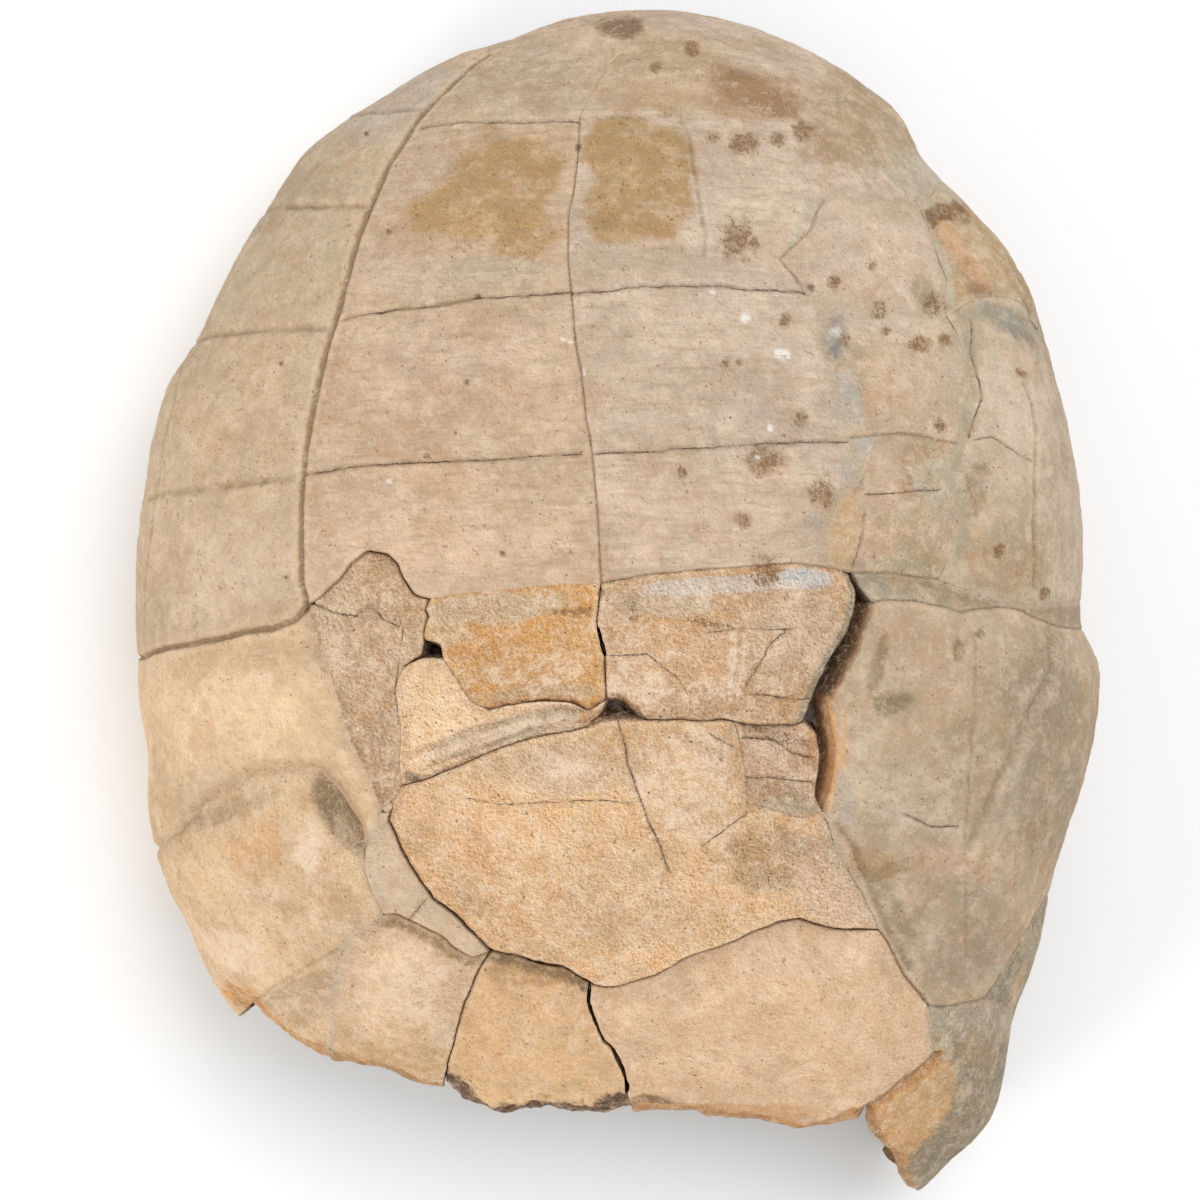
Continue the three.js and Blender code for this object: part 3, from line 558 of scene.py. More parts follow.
@dataclass(frozen=True)
class Stain:
    """A patch of colour: place, reaches in pixels, turn in degrees, colour, strength, raggedness, how much
    chalk dust (or, below nothing, brown crust) lies on it, and how square it is."""

    x: float
    y: float
    reach_x: float
    reach_y: float
    colour: str
    strength: float = 0.7
    turn: float = 0.0
    soft: float = 0.5
    ragged: float = 0.5
    size: float = 10.0
    dust: float = 0.0
    square: float = 2.0

    def share(self, drawn: np.ndarray, points: np.ndarray, seed: int) -> np.ndarray:
        """How much of the stain each point takes, from 0 to 1.

        Formula: the normalised distance from the middle, as round or square as the power says, is
        roughened by layered noise, and the share falls smoothly to nothing across the soft border.
        """
        across = drawn[..., 0] - self.x
        down = drawn[..., 1] - self.y
        turn = np.radians(self.turn)
        along = (across * np.cos(turn) + down * np.sin(turn)) / self.reach_x
        aside = (down * np.cos(turn) - across * np.sin(turn)) / self.reach_y
        away = (np.abs(along) ** self.square + np.abs(aside) ** self.square) ** (1.0 / self.square)
        near = away < 1.0 + self.soft + self.ragged
        share = np.zeros(away.shape)
        if near.any():
            rough = Grain.layered(points[near], self.size, seed, 4, 0.65)
            share[near] = smoothstep(1.0 + self.soft / 2.0, 1.0 - self.soft / 2.0,
                                     away[near] + self.ragged * rough)
        return share


@dataclass(frozen=True)
class Groove:
    """A soft furrow or a fine crack inside a plate."""

    points: str
    width: float = 4.0
    depth: float = 1.2
    lip: float = 0.25
    dark: float = 0.35
    jag: float = 1.0
    seed: int = 100
    tone: str = "68503a"
    sharp: bool = False

    def distance(self, skin: np.ndarray, reach: float) -> np.ndarray:
        """Distance of each point to the furrow, worked out as far as `reach` times its width."""
        path = Line(self.points, Edge.TIGHT, self.jag, self.seed).skin()
        return np.abs(line_distance(skin, path, self.width * reach))


@dataclass(frozen=True)
class Broken:
    """A plate's edge broken to a slope: how far in it starts, how deep it falls, and its colour."""

    edge: str
    reach: float
    depth: float
    colour: str
    rough: float = 0.9


WORN = linear("9e7046")
DARK = linear("463224")
# Dark brown painted shade for the shell's inner face and the deep part of the break walls.
INSIDE_SHADE = linear("584230")
PUTTY = linear("c4b298")
CHALK = linear("eed8be")
OCHRE = linear("c69c6e")
SMUDGE = linear("9e886c")
FURROW = linear("927858")
# Peach of the painted highlights on lit lips.
PEACH_HIGHLIGHT = linear("e8c8a4")
CRUST = linear("744e28")
GRIME = linear("70543a")
RUST = linear("b28052")
SMUDGE_STRENGTH = 0.26


@dataclass(frozen=True)
class Veil:
    """A cloudy tint over the whole bone: its tone, its noise, and the part of the noise where it shows."""

    tone: np.ndarray
    size: float
    seed: int
    keep: float
    low: float
    high: float


VEILS = (
    Veil(SMUDGE, 28.0, 52, 0.72, -0.02, 0.36),
    Veil(OCHRE, 15.0, 51, 0.85, -0.06, 0.32),
    Veil(CHALK, 8.0, 50, 0.85, -0.04, 0.34),
)


@dataclass(frozen=True)
class Patch:
    """A four-sided grid on the skin plane between four chains of breaks."""

    top: tuple[str, ...]
    right: tuple[str, ...]
    bottom: tuple[str, ...]
    left: tuple[str, ...]

    def names(self) -> list[str]:
        """Every break round the patch, each once."""
        return list(dict.fromkeys([*self.top, *self.right, *self.bottom, *self.left]))

    @staticmethod
    def chain(names: tuple[str, ...]) -> np.ndarray:
        """Join breaks head to tail.

        Args:
            names: the breaks in order; each is turned round where it must be.

        Returns:
            The joined path.
        """
        parts = [BREAKS[name].skin() for name in names]
        for index in range(len(parts)):
            if index == 0 and len(parts) > 1:
                ends = parts[1][[0, -1]]
                from_head = np.linalg.norm(ends - parts[0][0], axis=1).min()
                from_tail = np.linalg.norm(ends - parts[0][-1], axis=1).min()
                if from_head < from_tail:
                    parts[0] = parts[0][::-1]
            elif index > 0:
                end = parts[index - 1][-1]
                if np.linalg.norm(parts[index][0] - end) > np.linalg.norm(parts[index][-1] - end):
                    parts[index] = parts[index][::-1]
        return np.vstack([parts[0], *(part[1:] for part in parts[1:])])

    def sides(self) -> list[np.ndarray]:
        """The four joined paths: top and bottom left to right, right and left top to bottom."""
        paths = [self.chain(names) for names in (self.top, self.right, self.bottom, self.left)]
        best = None
        for flips in range(16):
            turned = [path[::-1] if flips >> index & 1 else path for index, path in enumerate(paths)]
            gap = (
                np.linalg.norm(turned[0][-1] - turned[1][0]) + np.linalg.norm(turned[1][-1] - turned[2][-1])
                + np.linalg.norm(turned[2][0] - turned[3][-1]) + np.linalg.norm(turned[3][0] - turned[0][0])
            )
            if best is None or gap < best[0]:
                best = (gap, turned)
        if best[0] > MISSED:
            LOG.warning("the breaks %s miss each other by %.1f", self.names(), best[0])
        return best[1]

    def openness(self, points: np.ndarray) -> tuple[np.ndarray, np.ndarray]:
        """How far each boundary point must be drawn in, and whether it lies on the rim.

        Args:
            points: boundary points on the skin plane.

        Returns:
            Half gaps in pixels, and a mask of rim points.
        """
        gap = np.zeros(len(points))
        nearest = np.full(len(points), np.inf)
        rim = np.zeros(len(points), dtype=bool)
        for name in self.names():
            item = BREAKS[name]
            away = np.abs(line_distance(points, item.skin(), NEAR_GAP))
            closer = away < nearest
            nearest = np.where(closer, away, nearest)
            gap = np.where(closer, item.edge.gap, gap)
            if isinstance(item, RimArc):
                rim |= away < ON_RIM
        flat = np.column_stack([points, np.zeros(len(points))])
        ragged = 0.85 + 2.4 * Grain.layered(flat, JAG_SIZE, 5, 4, 0.6)
        return gap * np.clip(ragged, 0.0, 1.8), rim

    def flares(self, points: np.ndarray) -> np.ndarray:
        """How far the foot of the wall stands out at each boundary point, and how bright the wall is painted:
        darker as painted shade in deep gaps and holes, brighter as a painted highlight on lit edges.
        """
        looks = np.tile([0.0, 1.0], (len(points), 1))
        nearest = np.full(len(points), NEAR_WALL)
        for name in self.names():
            away = np.abs(line_distance(points, BREAKS[name].skin(), NEAR_WALL))
            edge = BREAKS[name].edge
            looks = np.where((away < nearest)[:, None], [[edge.flare, edge.wall]], looks)
            nearest = np.minimum(nearest, away)
        spread = np.exp(-0.5 * (np.arange(-6, 7) / 2.5) ** 2)
        spread /= spread.sum()
        wrapped = np.concatenate([looks[-6:], looks, looks[:6]])
        return np.stack([np.convolve(wrapped[:, part], spread, mode="valid") for part in (0, 1)], axis=-1)

    def own(self, skin: np.ndarray) -> np.ndarray:
        """How far each point is free of its neighbours: 0 at a levelled break, 1 well inside the plate."""
        own = np.ones(skin.shape[:-1])
        for name in self.names():
            levelled = BREAKS[name].edge.levelled
            if levelled:
                away = np.abs(line_distance(skin, BREAKS[name].skin(), levelled))
                own = np.minimum(own, smoothstep(0.0, levelled, away))
        return own

    def grid(self, step: float) -> np.ndarray:
        """The patch's grid on the skin plane.

        Formula: the four sides are cut to even steps, wider ones where the grid would be too heavy, and
        drawn in by half a gap. A bilinearly blended patch is laid between them, and a smooth correction
        worked out on a coarse copy is added, so that rows and columns never cross.

        Args:
            step: the wanted spacing, pixels.

        Returns:
            Places on the skin plane, shape (rows, columns, 2), row 0 at the top.
        """
        sides = self.sides()
        columns = max(8, int(max(path_length(sides[0]), path_length(sides[2])) / step))
        rows = max(8, int(max(path_length(sides[1]), path_length(sides[3])) / step))
        wider = max(1.0, np.sqrt(columns * rows / MOST_CELLS))
        columns, rows = int(columns / wider), int(rows / wider)
        top, bottom = resample(sides[0], columns), resample(sides[2], columns)
        right, left = resample(sides[1], rows), resample(sides[3], rows)
        top[0] = left[0]
        top[-1] = right[0]
        bottom[0] = left[-1]
        bottom[-1] = right[-1]
        loop = np.vstack([top, right[1:], bottom[-2::-1], left[-2:0:-1]])
        gap, rim = self.openness(loop)
        ahead = np.roll(loop, -2, axis=0) - np.roll(loop, 2, axis=0)
        inward = np.stack([ahead[:, 1], -ahead[:, 0]], axis=-1)
        inward /= np.maximum(np.linalg.norm(inward, axis=1, keepdims=True), TINY)
        turned = loop[:, 0] * np.roll(loop[:, 1], -1) - np.roll(loop[:, 0], -1) * loop[:, 1]
        if turned.sum() > 0:
            inward = -inward
        loop = loop + inward * gap[:, None]
        angle = np.arctan2(loop[:, 1], loop[:, 0])
        held = SHELL.polar_skin(angle, np.full(len(loop), RIM))
        loop = np.where(rim[:, None], held, loop)
        top = loop[:columns]
        right = loop[columns - 1:columns + rows - 1]
        bottom = loop[columns + rows - 2:2 * columns + rows - 2][::-1]
        left = np.vstack([loop[2 * columns + rows - 3:][:rows - 1], loop[:1]])[::-1]
        left[-1] = bottom[0]
        fine = self.blend(top, right, bottom, left)
        few_columns, few_rows = min(columns, COARSE_CELLS), min(rows, COARSE_CELLS)
        pick_columns = np.linspace(0, columns - 1, few_columns)
        pick_rows = np.linspace(0, rows - 1, few_rows)
        coarse = self.blend(resample_at(top, pick_columns), resample_at(right, pick_rows),
                            resample_at(bottom, pick_columns), resample_at(left, pick_rows))
        change = self.relax(coarse, COARSE_TURNS) - coarse
        rows_at = np.linspace(0, few_rows - 1, rows)
        columns_at = np.linspace(0, few_columns - 1, columns)
        along = np.stack([resample_at(change[:, column], rows_at) for column in range(few_columns)], axis=1)
        spread = np.stack([resample_at(row, columns_at) for row in along], axis=0)
        return self.tightened(self.relax(fine + spread, FINE_TURNS))

    @staticmethod
    def tightened(grid: np.ndarray) -> np.ndarray:
        """Add rows and columns close to the four edges, where the bone breaks off sharply."""
        near = np.array([0.0, 0.14, 0.36, 0.68, 1.1, 1.6])
        for axis in (0, 1):
            count = grid.shape[axis]
            places = np.concatenate([near, np.arange(2.2, count - 3.0), count - 1.0 - near[::-1]])
            low = np.minimum(places.astype(int), count - 2)
            share = np.expand_dims(places - low, (1 - axis, 2))
            grid = grid.take(low, axis) * (1.0 - share) + grid.take(low + 1, axis) * share
        return grid

    @staticmethod
    def blend(top: np.ndarray, right: np.ndarray, bottom: np.ndarray, left: np.ndarray) -> np.ndarray:
        """The bilinearly blended patch between four sides."""
        u = np.linspace(0.0, 1.0, len(top))[None, :, None]
        v = np.linspace(0.0, 1.0, len(left))[:, None, None]
        across = (1.0 - v) * top[None] + v * bottom[None]
        down = (1.0 - u) * left[:, None] + u * right[:, None]
        head, foot = (1.0 - u) * top[0] + u * top[-1], (1.0 - u) * bottom[0] + u * bottom[-1]
        return across + down - ((1.0 - v) * head + v * foot)

    @staticmethod
    def relax(grid: np.ndarray, turns: int) -> np.ndarray:
        """Even out a grid inside its fixed edge, weighted so that its lines keep from crossing."""
        grid = grid.copy()
        for _ in range(turns):
            east, west = grid[1:-1, 2:], grid[1:-1, :-2]
            south, north = grid[2:, 1:-1], grid[:-2, 1:-1]
            along, down = (east - west) / 2.0, (south - north) / 2.0
            alpha = (down ** 2).sum(-1, keepdims=True) + 1e-6
            gamma = (along ** 2).sum(-1, keepdims=True) + 1e-6
            beta = (along * down).sum(-1, keepdims=True)
            cross = (grid[2:, 2:] - grid[2:, :-2] - grid[:-2, 2:] + grid[:-2, :-2]) / 4.0
            moved = alpha * (east + west) + gamma * (south + north) - 2.0 * beta * cross
            grid[1:-1, 1:-1] = moved / (2.0 * (alpha + gamma))
        return grid


def resample_at(path: np.ndarray, places: np.ndarray) -> np.ndarray:
    """A path read at fractional indices."""
    index = np.arange(len(path))
    return np.stack([np.interp(places, index, path[:, axis]) for axis in range(path.shape[1])], axis=-1)


def mix(colour: np.ndarray, other: np.ndarray, share: np.ndarray) -> np.ndarray:
    """Blend an array of colours towards another colour by a share a point."""
    return colour + (other - colour) * share[..., None]


@dataclass(frozen=True)
class Skin:
    """The state of a plate's outer face while it is being worn and painted."""

    skin: np.ndarray
    drawn: np.ndarray
    down: np.ndarray
    points: np.ndarray
    height: np.ndarray
    colour: np.ndarray
    side: np.ndarray
    line: np.ndarray
    dust: np.ndarray
    own: np.ndarray


@dataclass
class Plate:
    """One fragment of the carapace, or a band of filler, with its own wear and colours."""

    name: str
    slot: str
    patch: Patch
    lift: float
    colour: str
    second: str
    seed: int
    rough: float = 1.0
    streaks: float = 0.0
    dome: float = 0.0
    scars: float = 0.0
    chalk: float = 0.3
    ochre: float = 0.3
    stains: tuple[Stain, ...] = ()
    grooves: tuple[Groove, ...] = ()
    broken: tuple[Broken, ...] = ()
    hairlines: tuple[str, ...] = ()
    body: bpy.types.Object | None = field(default=None, repr=False)

    def build(self) -> bpy.types.Object:
        """Make the fragment's closed mesh and hand it to the part.

        Formula: the outer grid is the patch carried on to the dome and pushed along its normal by wear,
        the inner grid is the same patch one bone thickness inside, and rough rows join their edges.

        Returns:
            The finished object, at the origin.
        """
        skin = self.patch.grid(GRID_STEP)
        angle, down = SHELL.from_skin(skin)
        own = self.patch.own(skin)
        face = SHELL.place(skin, self.lift * own)
        normal = SHELL.outward(skin)
        state = Skin(skin, SHELL.drawn(angle, down), down, face, np.zeros(down.shape),
                     np.zeros(down.shape + (3,)), np.full(down.shape, FAR_SIDE),
                     np.zeros(down.shape), np.zeros(down.shape), own)
        self.wear(state)
        self.paint(state)
        fade = 1.0 - smoothstep(1.12, 1.28, down)
        outer = face + normal * ((state.height - SKIN_DROP) * fade)[..., None]
        level = normal.copy()
        at_rim = smoothstep(1.27, RIM, down)
        level[..., 2] *= 1.0 - at_rim
        level /= np.maximum(np.linalg.norm(level, axis=-1, keepdims=True), TINY)
        inner = face - level * BONE
        inner += normal * (0.6 * Grain.layered(inner, 18.0, self.seed + 5, 3) * (1.0 - at_rim))[..., None]
        rim_z = SHELL.rim_height(angle)
        low = (np.array(CAD_BOX[0]) / METRES + CAD_MARGIN) * np.array([1.0, 1.0, 0.0])
        high = np.array(CAD_BOX[1]) / METRES - CAD_MARGIN
        for sheet in (outer, inner):
            least = np.minimum(rim_z, sheet[..., 2] + 50.0) * (down > 1.0)
            sheet[..., 2] = np.maximum(np.maximum(sheet[..., 2], least), 0.0)
            sheet[...] = np.clip(sheet, low, high)
        self.body = self.close(outer, inner, state)
        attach(self.body, "root")
        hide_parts(self.name)
        return self.body

    def wear(self, state: Skin) -> None:
        """Push the outer face in and out: grain, scars, worn edges, broken slopes, grooves and pits.

        Args:
            state: the face; its height is changed in place.
        """
        points, height = state.points, state.height
        grain = 0.55 * Grain.layered(points, 55.0, self.seed, 3, 0.5)
        grain += 0.55 * Grain.layered(points, 13.0, self.seed + 1, 4, 0.62)
        grain += 0.10 * Grain.value(points, 1.9, self.seed + 2)
        height += grain * self.rough
        if self.streaks:
            combed = points * np.array([0.16, 1.0, 0.5])
            height += self.streaks * 0.42 * Grain.layered(combed, 4.6, self.seed + 3, 3, 0.6)
        scars = Grain.layered(points, 24.0, self.seed + 4, 4, 0.6)
        height += self.scars * 0.5 * smoothstep(0.02, 0.06, scars)
        mask = smoothstep(0.0, 0.35, Grain.value(points, 30.0, self.seed + 6))
        pits = smoothstep(0.50, 0.72, Grain.value(points, 2.6, self.seed + 7))
        height -= 0.42 * self.rough * pits * mask
        flat = np.concatenate([state.skin, np.zeros(state.skin.shape[:-1] + (1,))], axis=-1)
        ragged = Grain.layered(flat, 12.0, self.seed + 8, 3, 0.6)
        edge_distance = np.full(height.shape, EDGE_REACH)
        fall = np.zeros(height.shape)
        for name in self.patch.names():
            item = BREAKS[name]
            if isinstance(item, RimArc):
                continue
            away = np.abs(line_distance(state.skin, item.skin(), EDGE_REACH))
            edge_distance = np.minimum(edge_distance, away)
            reach = item.edge.reach * (1.0 + 0.6 * ragged)
            fall += item.edge.depth * (1.0 - smoothstep(0.0, 1.0, away / reach)) ** 1.5
            state.line[...] = np.where(away < state.side, item.edge.dark, state.line)
            state.side[...] = np.minimum(state.side, away)
        shared = 0.5 * Grain.layered(flat, 40.0, 700, 4, 0.6)
        height[...] = height * state.own + shared * (1.0 - state.own) - fall
        height += self.dome * smoothstep(0.0, 55.0, edge_distance)
        for item in self.broken:
            away = np.abs(line_distance(state.skin, BREAKS[item.edge].skin(), item.reach * 2.0))
            share = 1.0 - smoothstep(0.55, 1.0, away / (item.reach * (1.0 + 0.55 * ragged)))
            slope = np.clip(1.0 - away / item.reach, 0.0, 1.0)
            height -= share * item.depth * (0.35 + 0.65 * slope)
            height += share * item.rough * Grain.layered(points, 5.0, self.seed + 9, 3, 0.7)
        for item in self.grooves:
            away = item.distance(state.skin, 4.0)
            ends = 0.6 + 0.4 * Grain.value(flat, 30.0, item.seed)
            height -= item.depth * ends * np.exp(-((away / (item.width * 0.5)) ** 2))
            height += item.lip * np.exp(-(((away - item.width * 1.3) / (item.width * 0.6)) ** 2))

    def paint(self, state: Skin) -> None:
        """Colour the outer face: bone tones, stains, grooves, edges, painted shade and painted highlights.

        Args:
            state: the face; its colour is changed in place.
        """
        points, colour = state.points, state.colour
        flat = np.concatenate([state.skin, np.zeros(state.skin.shape[:-1] + (1,))], axis=-1)
        colour[...] = linear(self.colour)
        cloud = Grain.layered(points, 46.0, self.seed + 20, 4, 0.6)
        colour[...] = mix(colour, linear(self.second), smoothstep(-0.12, 0.3, cloud))
        self.stain(state, self.stains, self.seed + 30)
        grain = points * np.array([1.0 - 0.7 * min(self.streaks, 1.0), 1.0, 1.0])
        for veil, strength in zip(VEILS, (SMUDGE_STRENGTH, self.ochre, self.chalk)):
            cloud = Grain.layered(grain, veil.size, self.seed + veil.seed, 5, veil.keep)
            colour[...] = mix(colour, veil.tone, strength * smoothstep(veil.low, veil.high, cloud))
        mottle = Grain.layered(points, 9.0, self.seed + 21, 5, 0.85)
        speck_and_grain_shade = Grain.value(points, 1.7, self.seed + 22)
        colour *= (1.0 + 0.18 * mottle + 0.05 * speck_and_grain_shade)[..., None]
        if self.streaks:
            combed = Grain.layered(points * np.array([0.14, 1.0, 0.5]), 4.0, self.seed + 3, 3, 0.6)
            colour *= (1.0 + 0.12 * self.streaks * combed)[..., None]
        rust = Grain.layered(points, 20.0, self.seed + 23, 4, 0.65)
        colour[...] = mix(colour, RUST, 0.22 * smoothstep(0.14, 0.4, rust))
        self.stain(state, SPOTS, 900)
        ragged = Grain.layered(flat, 9.0, self.seed + 24, 3, 0.6)
        for item in self.broken:
            away = np.abs(line_distance(state.skin, BREAKS[item.edge].skin(), item.reach * 2.0))
            share = 1.0 - smoothstep(0.75, 1.0, away / (item.reach * (1.0 + 0.55 * ragged)))
            shade = 1.0 + 0.3 * Grain.layered(points, 4.0, self.seed + 25, 3, 0.7)
            colour[...] = mix(colour, linear(item.colour) * shade[..., None], share)
        for item in self.grooves:
            away = item.distance(state.skin, 3.0)
            share = item.dark * np.exp(-((away / (item.width * 0.5)) ** 4))
            colour[...] = mix(colour, linear(item.tone), np.clip(share * (0.8 + 0.8 * ragged), 0.0, 1.0))
        for name in self.patch.names():
            item = BREAKS[name]
            if isinstance(item, RimArc):
                continue
            away = np.abs(line_distance(state.skin, item.skin(), LINE_REACH))
            if item.edge is Edge.FILLED:
                share = 0.65 * (1.0 - smoothstep(2.0, 8.0, away + 5.0 * ragged))
                colour[...] = mix(colour, PUTTY, np.clip(share, 0.0, 1.0))
            if item.edge is Edge.SUTURE:
                colour[...] = mix(colour, FURROW, 0.75 * (1.0 - smoothstep(1.8, 4.2, away + 1.2 * ragged)))
                # Painted highlight: a peach band on the suture's raised, lit lip.
                colour[...] = mix(colour, PEACH_HIGHLIGHT, 0.45 * np.exp(-(((away - 6.5) / 2.2) ** 2)))
            # Painted highlight: a peach band on the lit lip a few pixels from each break, as strong as the
            # break's line is dark.
            worn = 0.4 * item.edge.dark * np.exp(-(((away - 3.4) / 1.6) ** 2))
            colour[...] = mix(colour, PEACH_HIGHLIGHT, np.clip(worn * (1.0 + 1.5 * ragged), 0.0, 0.7))
            # Painted shade: a dark band in the crack along each break, as dark as the break's line.
            grime_and_crack_shade = 0.3 * item.edge.dark * np.exp(-((away / 1.4) ** 2))
            colour[...] = mix(colour, DARK, np.clip(grime_and_crack_shade * (1.0 + ragged), 0.0, 0.8))
        # Painted shade in the hollows and painted light on raised parts, taken from the face's height.
        relief_light_and_shade = np.clip(-state.height * 0.10, -0.10, 0.22)
        colour *= (1.0 - relief_light_and_shade)[..., None]
        np.clip(colour, 0.0, 1.0, out=colour)

    @staticmethod
    def stain(state: Skin, stains: tuple[Stain, ...], seed: int) -> None:
        """Lay stains on the face, each with its colour and its dust."""
        for index, stain in enumerate(stains):
            share = stain.share(state.drawn, state.points, seed + index)
            state.colour[...] = mix(state.colour, linear(stain.colour), share * stain.strength)
            state.dust[...] += share * stain.dust

    def close(self, outer: np.ndarray, inner: np.ndarray, state: Skin) -> bpy.types.Object:
        """Join the two faces by rough walls and make the mesh.

        Args:
            outer: the worn outer grid.
            inner: the inner grid.
            state: the painted face.

        Returns:
            The object with its colour, hairline and edge attributes.
        """
        rows, columns = outer.shape[:2]
        count = rows * columns
        index = np.arange(count).reshape(rows, columns)
        loop = np.concatenate([index[0, :], index[1:, -1], index[-1, -2::-1], index[-2:0:-1, 0]])
        high, low = outer.reshape(-1, 3)[loop], inner.reshape(-1, 3)[loop]
        inside = outer[rows // 2, columns // 2] - high
        ahead = np.roll(high, -2, axis=0) - np.roll(high, 2, axis=0)
        through = high - low
        inward = np.cross(through, ahead)
        inward /= np.maximum(np.linalg.norm(inward, axis=1, keepdims=True), TINY)
        if (inward * inside).sum(axis=1).mean() < 0.0:
            inward = -inward
        rim = (state.down.reshape(-1)[loop] > RIM - 0.002)[:, None]
        looks = self.patch.flares(state.skin.reshape(-1, 2)[loop])
        flare = looks[:, :1]
        low = low - inward * np.where(rim, 0.0, flare)
        inner.reshape(-1, 3)[loop] = low
        walls = []
        for row in range(1, WALL_ROWS):
            share = row / WALL_ROWS
            middle = high * (1.0 - share) + low * share
            push = 0.35 + 0.55 * Grain.layered(middle, 5.0, self.seed + 40, 4, 0.65)
            walls.append(middle + inward * np.where(rim, 0.0, np.maximum(push, 0.0)[:, None]))
        walls = np.array(walls)
        flow = outer[:-1, 1:2] - outer[:-1, :1]
        fall = outer[1:, :1] - outer[:-1, :1]
        facing = (np.cross(fall, flow) * (outer[:-1, :1] - inner[:-1, :1])).sum() > 0.0
        quads = self.quads(index)
        back = self.quads(index + count)[:, ::-1]
        belt = np.vstack([loop[None], 2 * count + np.arange(walls[..., 0].size).reshape(walls.shape[:2]),
                          (loop + count)[None]])
        belt = np.hstack([belt, belt[:, :1]])
        sides = self.quads(belt)
        faces = np.vstack([quads, back, sides[:, ::-1]])
        if not facing:
            faces = faces[:, ::-1]
        verts = np.vstack([outer.reshape(-1, 3), inner.reshape(-1, 3), walls.reshape(-1, 3)]) * METRES
        tone = 1.0 + 0.35 * Grain.layered(walls, 4.0, self.seed + 41, 3, 0.7)
        share = np.linspace(0.0, 1.0, len(walls))[:, None]
        # The wall fades from the broken bone's colour at its top to a painted shade deeper in the crack.
        wall_colour = (WORN * (1.0 - share[..., None]) + INSIDE_SHADE * share[..., None]) * tone[..., None]
        edge_tint = state.colour.reshape(-1, 3)[loop][None]
        near = np.clip(1.0 - np.arange(len(walls)) / 2.0, 0.0, 0.7)[:, None, None]
        # Each break's wall brightness: painted shade in deep gaps and holes, a painted highlight on lit
        # edges.
        wall_colour = (wall_colour + (edge_tint - wall_colour) * near) * looks[None, :, 1:]
        # The inner face is painted dark brown: painted shade of the shell's inside, seen through its gaps and
        # holes.
        inner_tone = 1.0 + 0.25 * Grain.layered(inner, 14.0, self.seed + 42, 3, 0.6)
        tint = np.vstack([state.colour.reshape(-1, 3), (INSIDE_SHADE * inner_tone[..., None]).reshape(-1, 3),
                          np.clip(wall_colour, 0.0, 1.0).reshape(-1, 3)])
        mesh = bpy.data.meshes.new(self.name)
        mesh.vertices.add(len(verts))
        mesh.vertices.foreach_set("co", verts.astype(np.float32).ravel())
        mesh.loops.add(faces.size)
        mesh.loops.foreach_set("vertex_index", faces.astype(np.int32).ravel())
        mesh.polygons.add(len(faces))
        mesh.polygons.foreach_set("loop_start", np.arange(0, faces.size, 4, dtype=np.int32))
        mesh.update(calc_edges=True)
        mesh.validate(verbose=False)
        mesh.polygons.foreach_set("use_smooth", np.ones(len(mesh.polygons), dtype=bool))
        mesh.set_sharp_from_angle(angle=np.radians(SHARP_ANGLE))
        paint = mesh.attributes.new("tint", "FLOAT_COLOR", "POINT")
        dust = np.full(len(tint), 0.5)
        dust[:count] = np.clip(0.5 + 0.5 * state.dust.ravel(), 0.0, 1.0)
        rgba = np.column_stack([tint, dust])
        paint.data.foreach_set("color", rgba.astype(np.float32).ravel())
        crack = mesh.attributes.new("crack", "FLOAT_VECTOR", "POINT")
        crack.data.foreach_set("vector", self.hairs(state, len(verts)).astype(np.float32).ravel())
        line = mesh.attributes.new("line", "FLOAT", "POINT")
        strength = np.zeros(len(verts), dtype=np.float32)
        strength[:state.line.size] = state.line.ravel()
        line.data.foreach_set("value", strength)
        body = bpy.data.objects.new(f"{self.name}_bone", mesh)
        bpy.context.scene.collection.objects.link(body)
        return body

    @staticmethod
    def quads(index: np.ndarray) -> np.ndarray:
        """Four corners a cell for a grid of vertex numbers."""
        return np.stack([index[:-1, :-1], index[:-1, 1:], index[1:, 1:], index[1:, :-1]], -1).reshape(-1, 4)

    def hairs(self, state: Skin, total: int) -> np.ndarray:
        """Signed and plain distance to the nearest hairline, in the first two values of a vector."""
        away = np.full(state.skin.shape[:-1], LINE_REACH)
        near = away.copy()
        fine = [item.points for item in self.grooves if item.sharp]
        for number, points in enumerate([*self.hairlines, *fine]):
            seeds = {item.points: (item.jag, item.seed) for item in self.grooves}
            jag, seed = seeds.get(points, (0.8, self.seed + 60 + number))
            path = Line(points, Edge.TIGHT, jag, seed).skin()
            signed = line_distance(state.skin, path, LINE_REACH)
            closer = np.abs(signed) < near
            away = np.where(closer, signed, away)
            near = np.minimum(near, np.abs(signed))
        result = np.full((total, 3), LINE_REACH)
        result[:near.size, 0] = away.ravel()
        result[:near.size, 1] = near.ravel()
        result[:near.size, 2] = state.side.ravel()
        return result

    def dress(self, finish: "Finish") -> None:
        """Give the fragment its finish."""
        self.body.data.materials.append(finish.material())


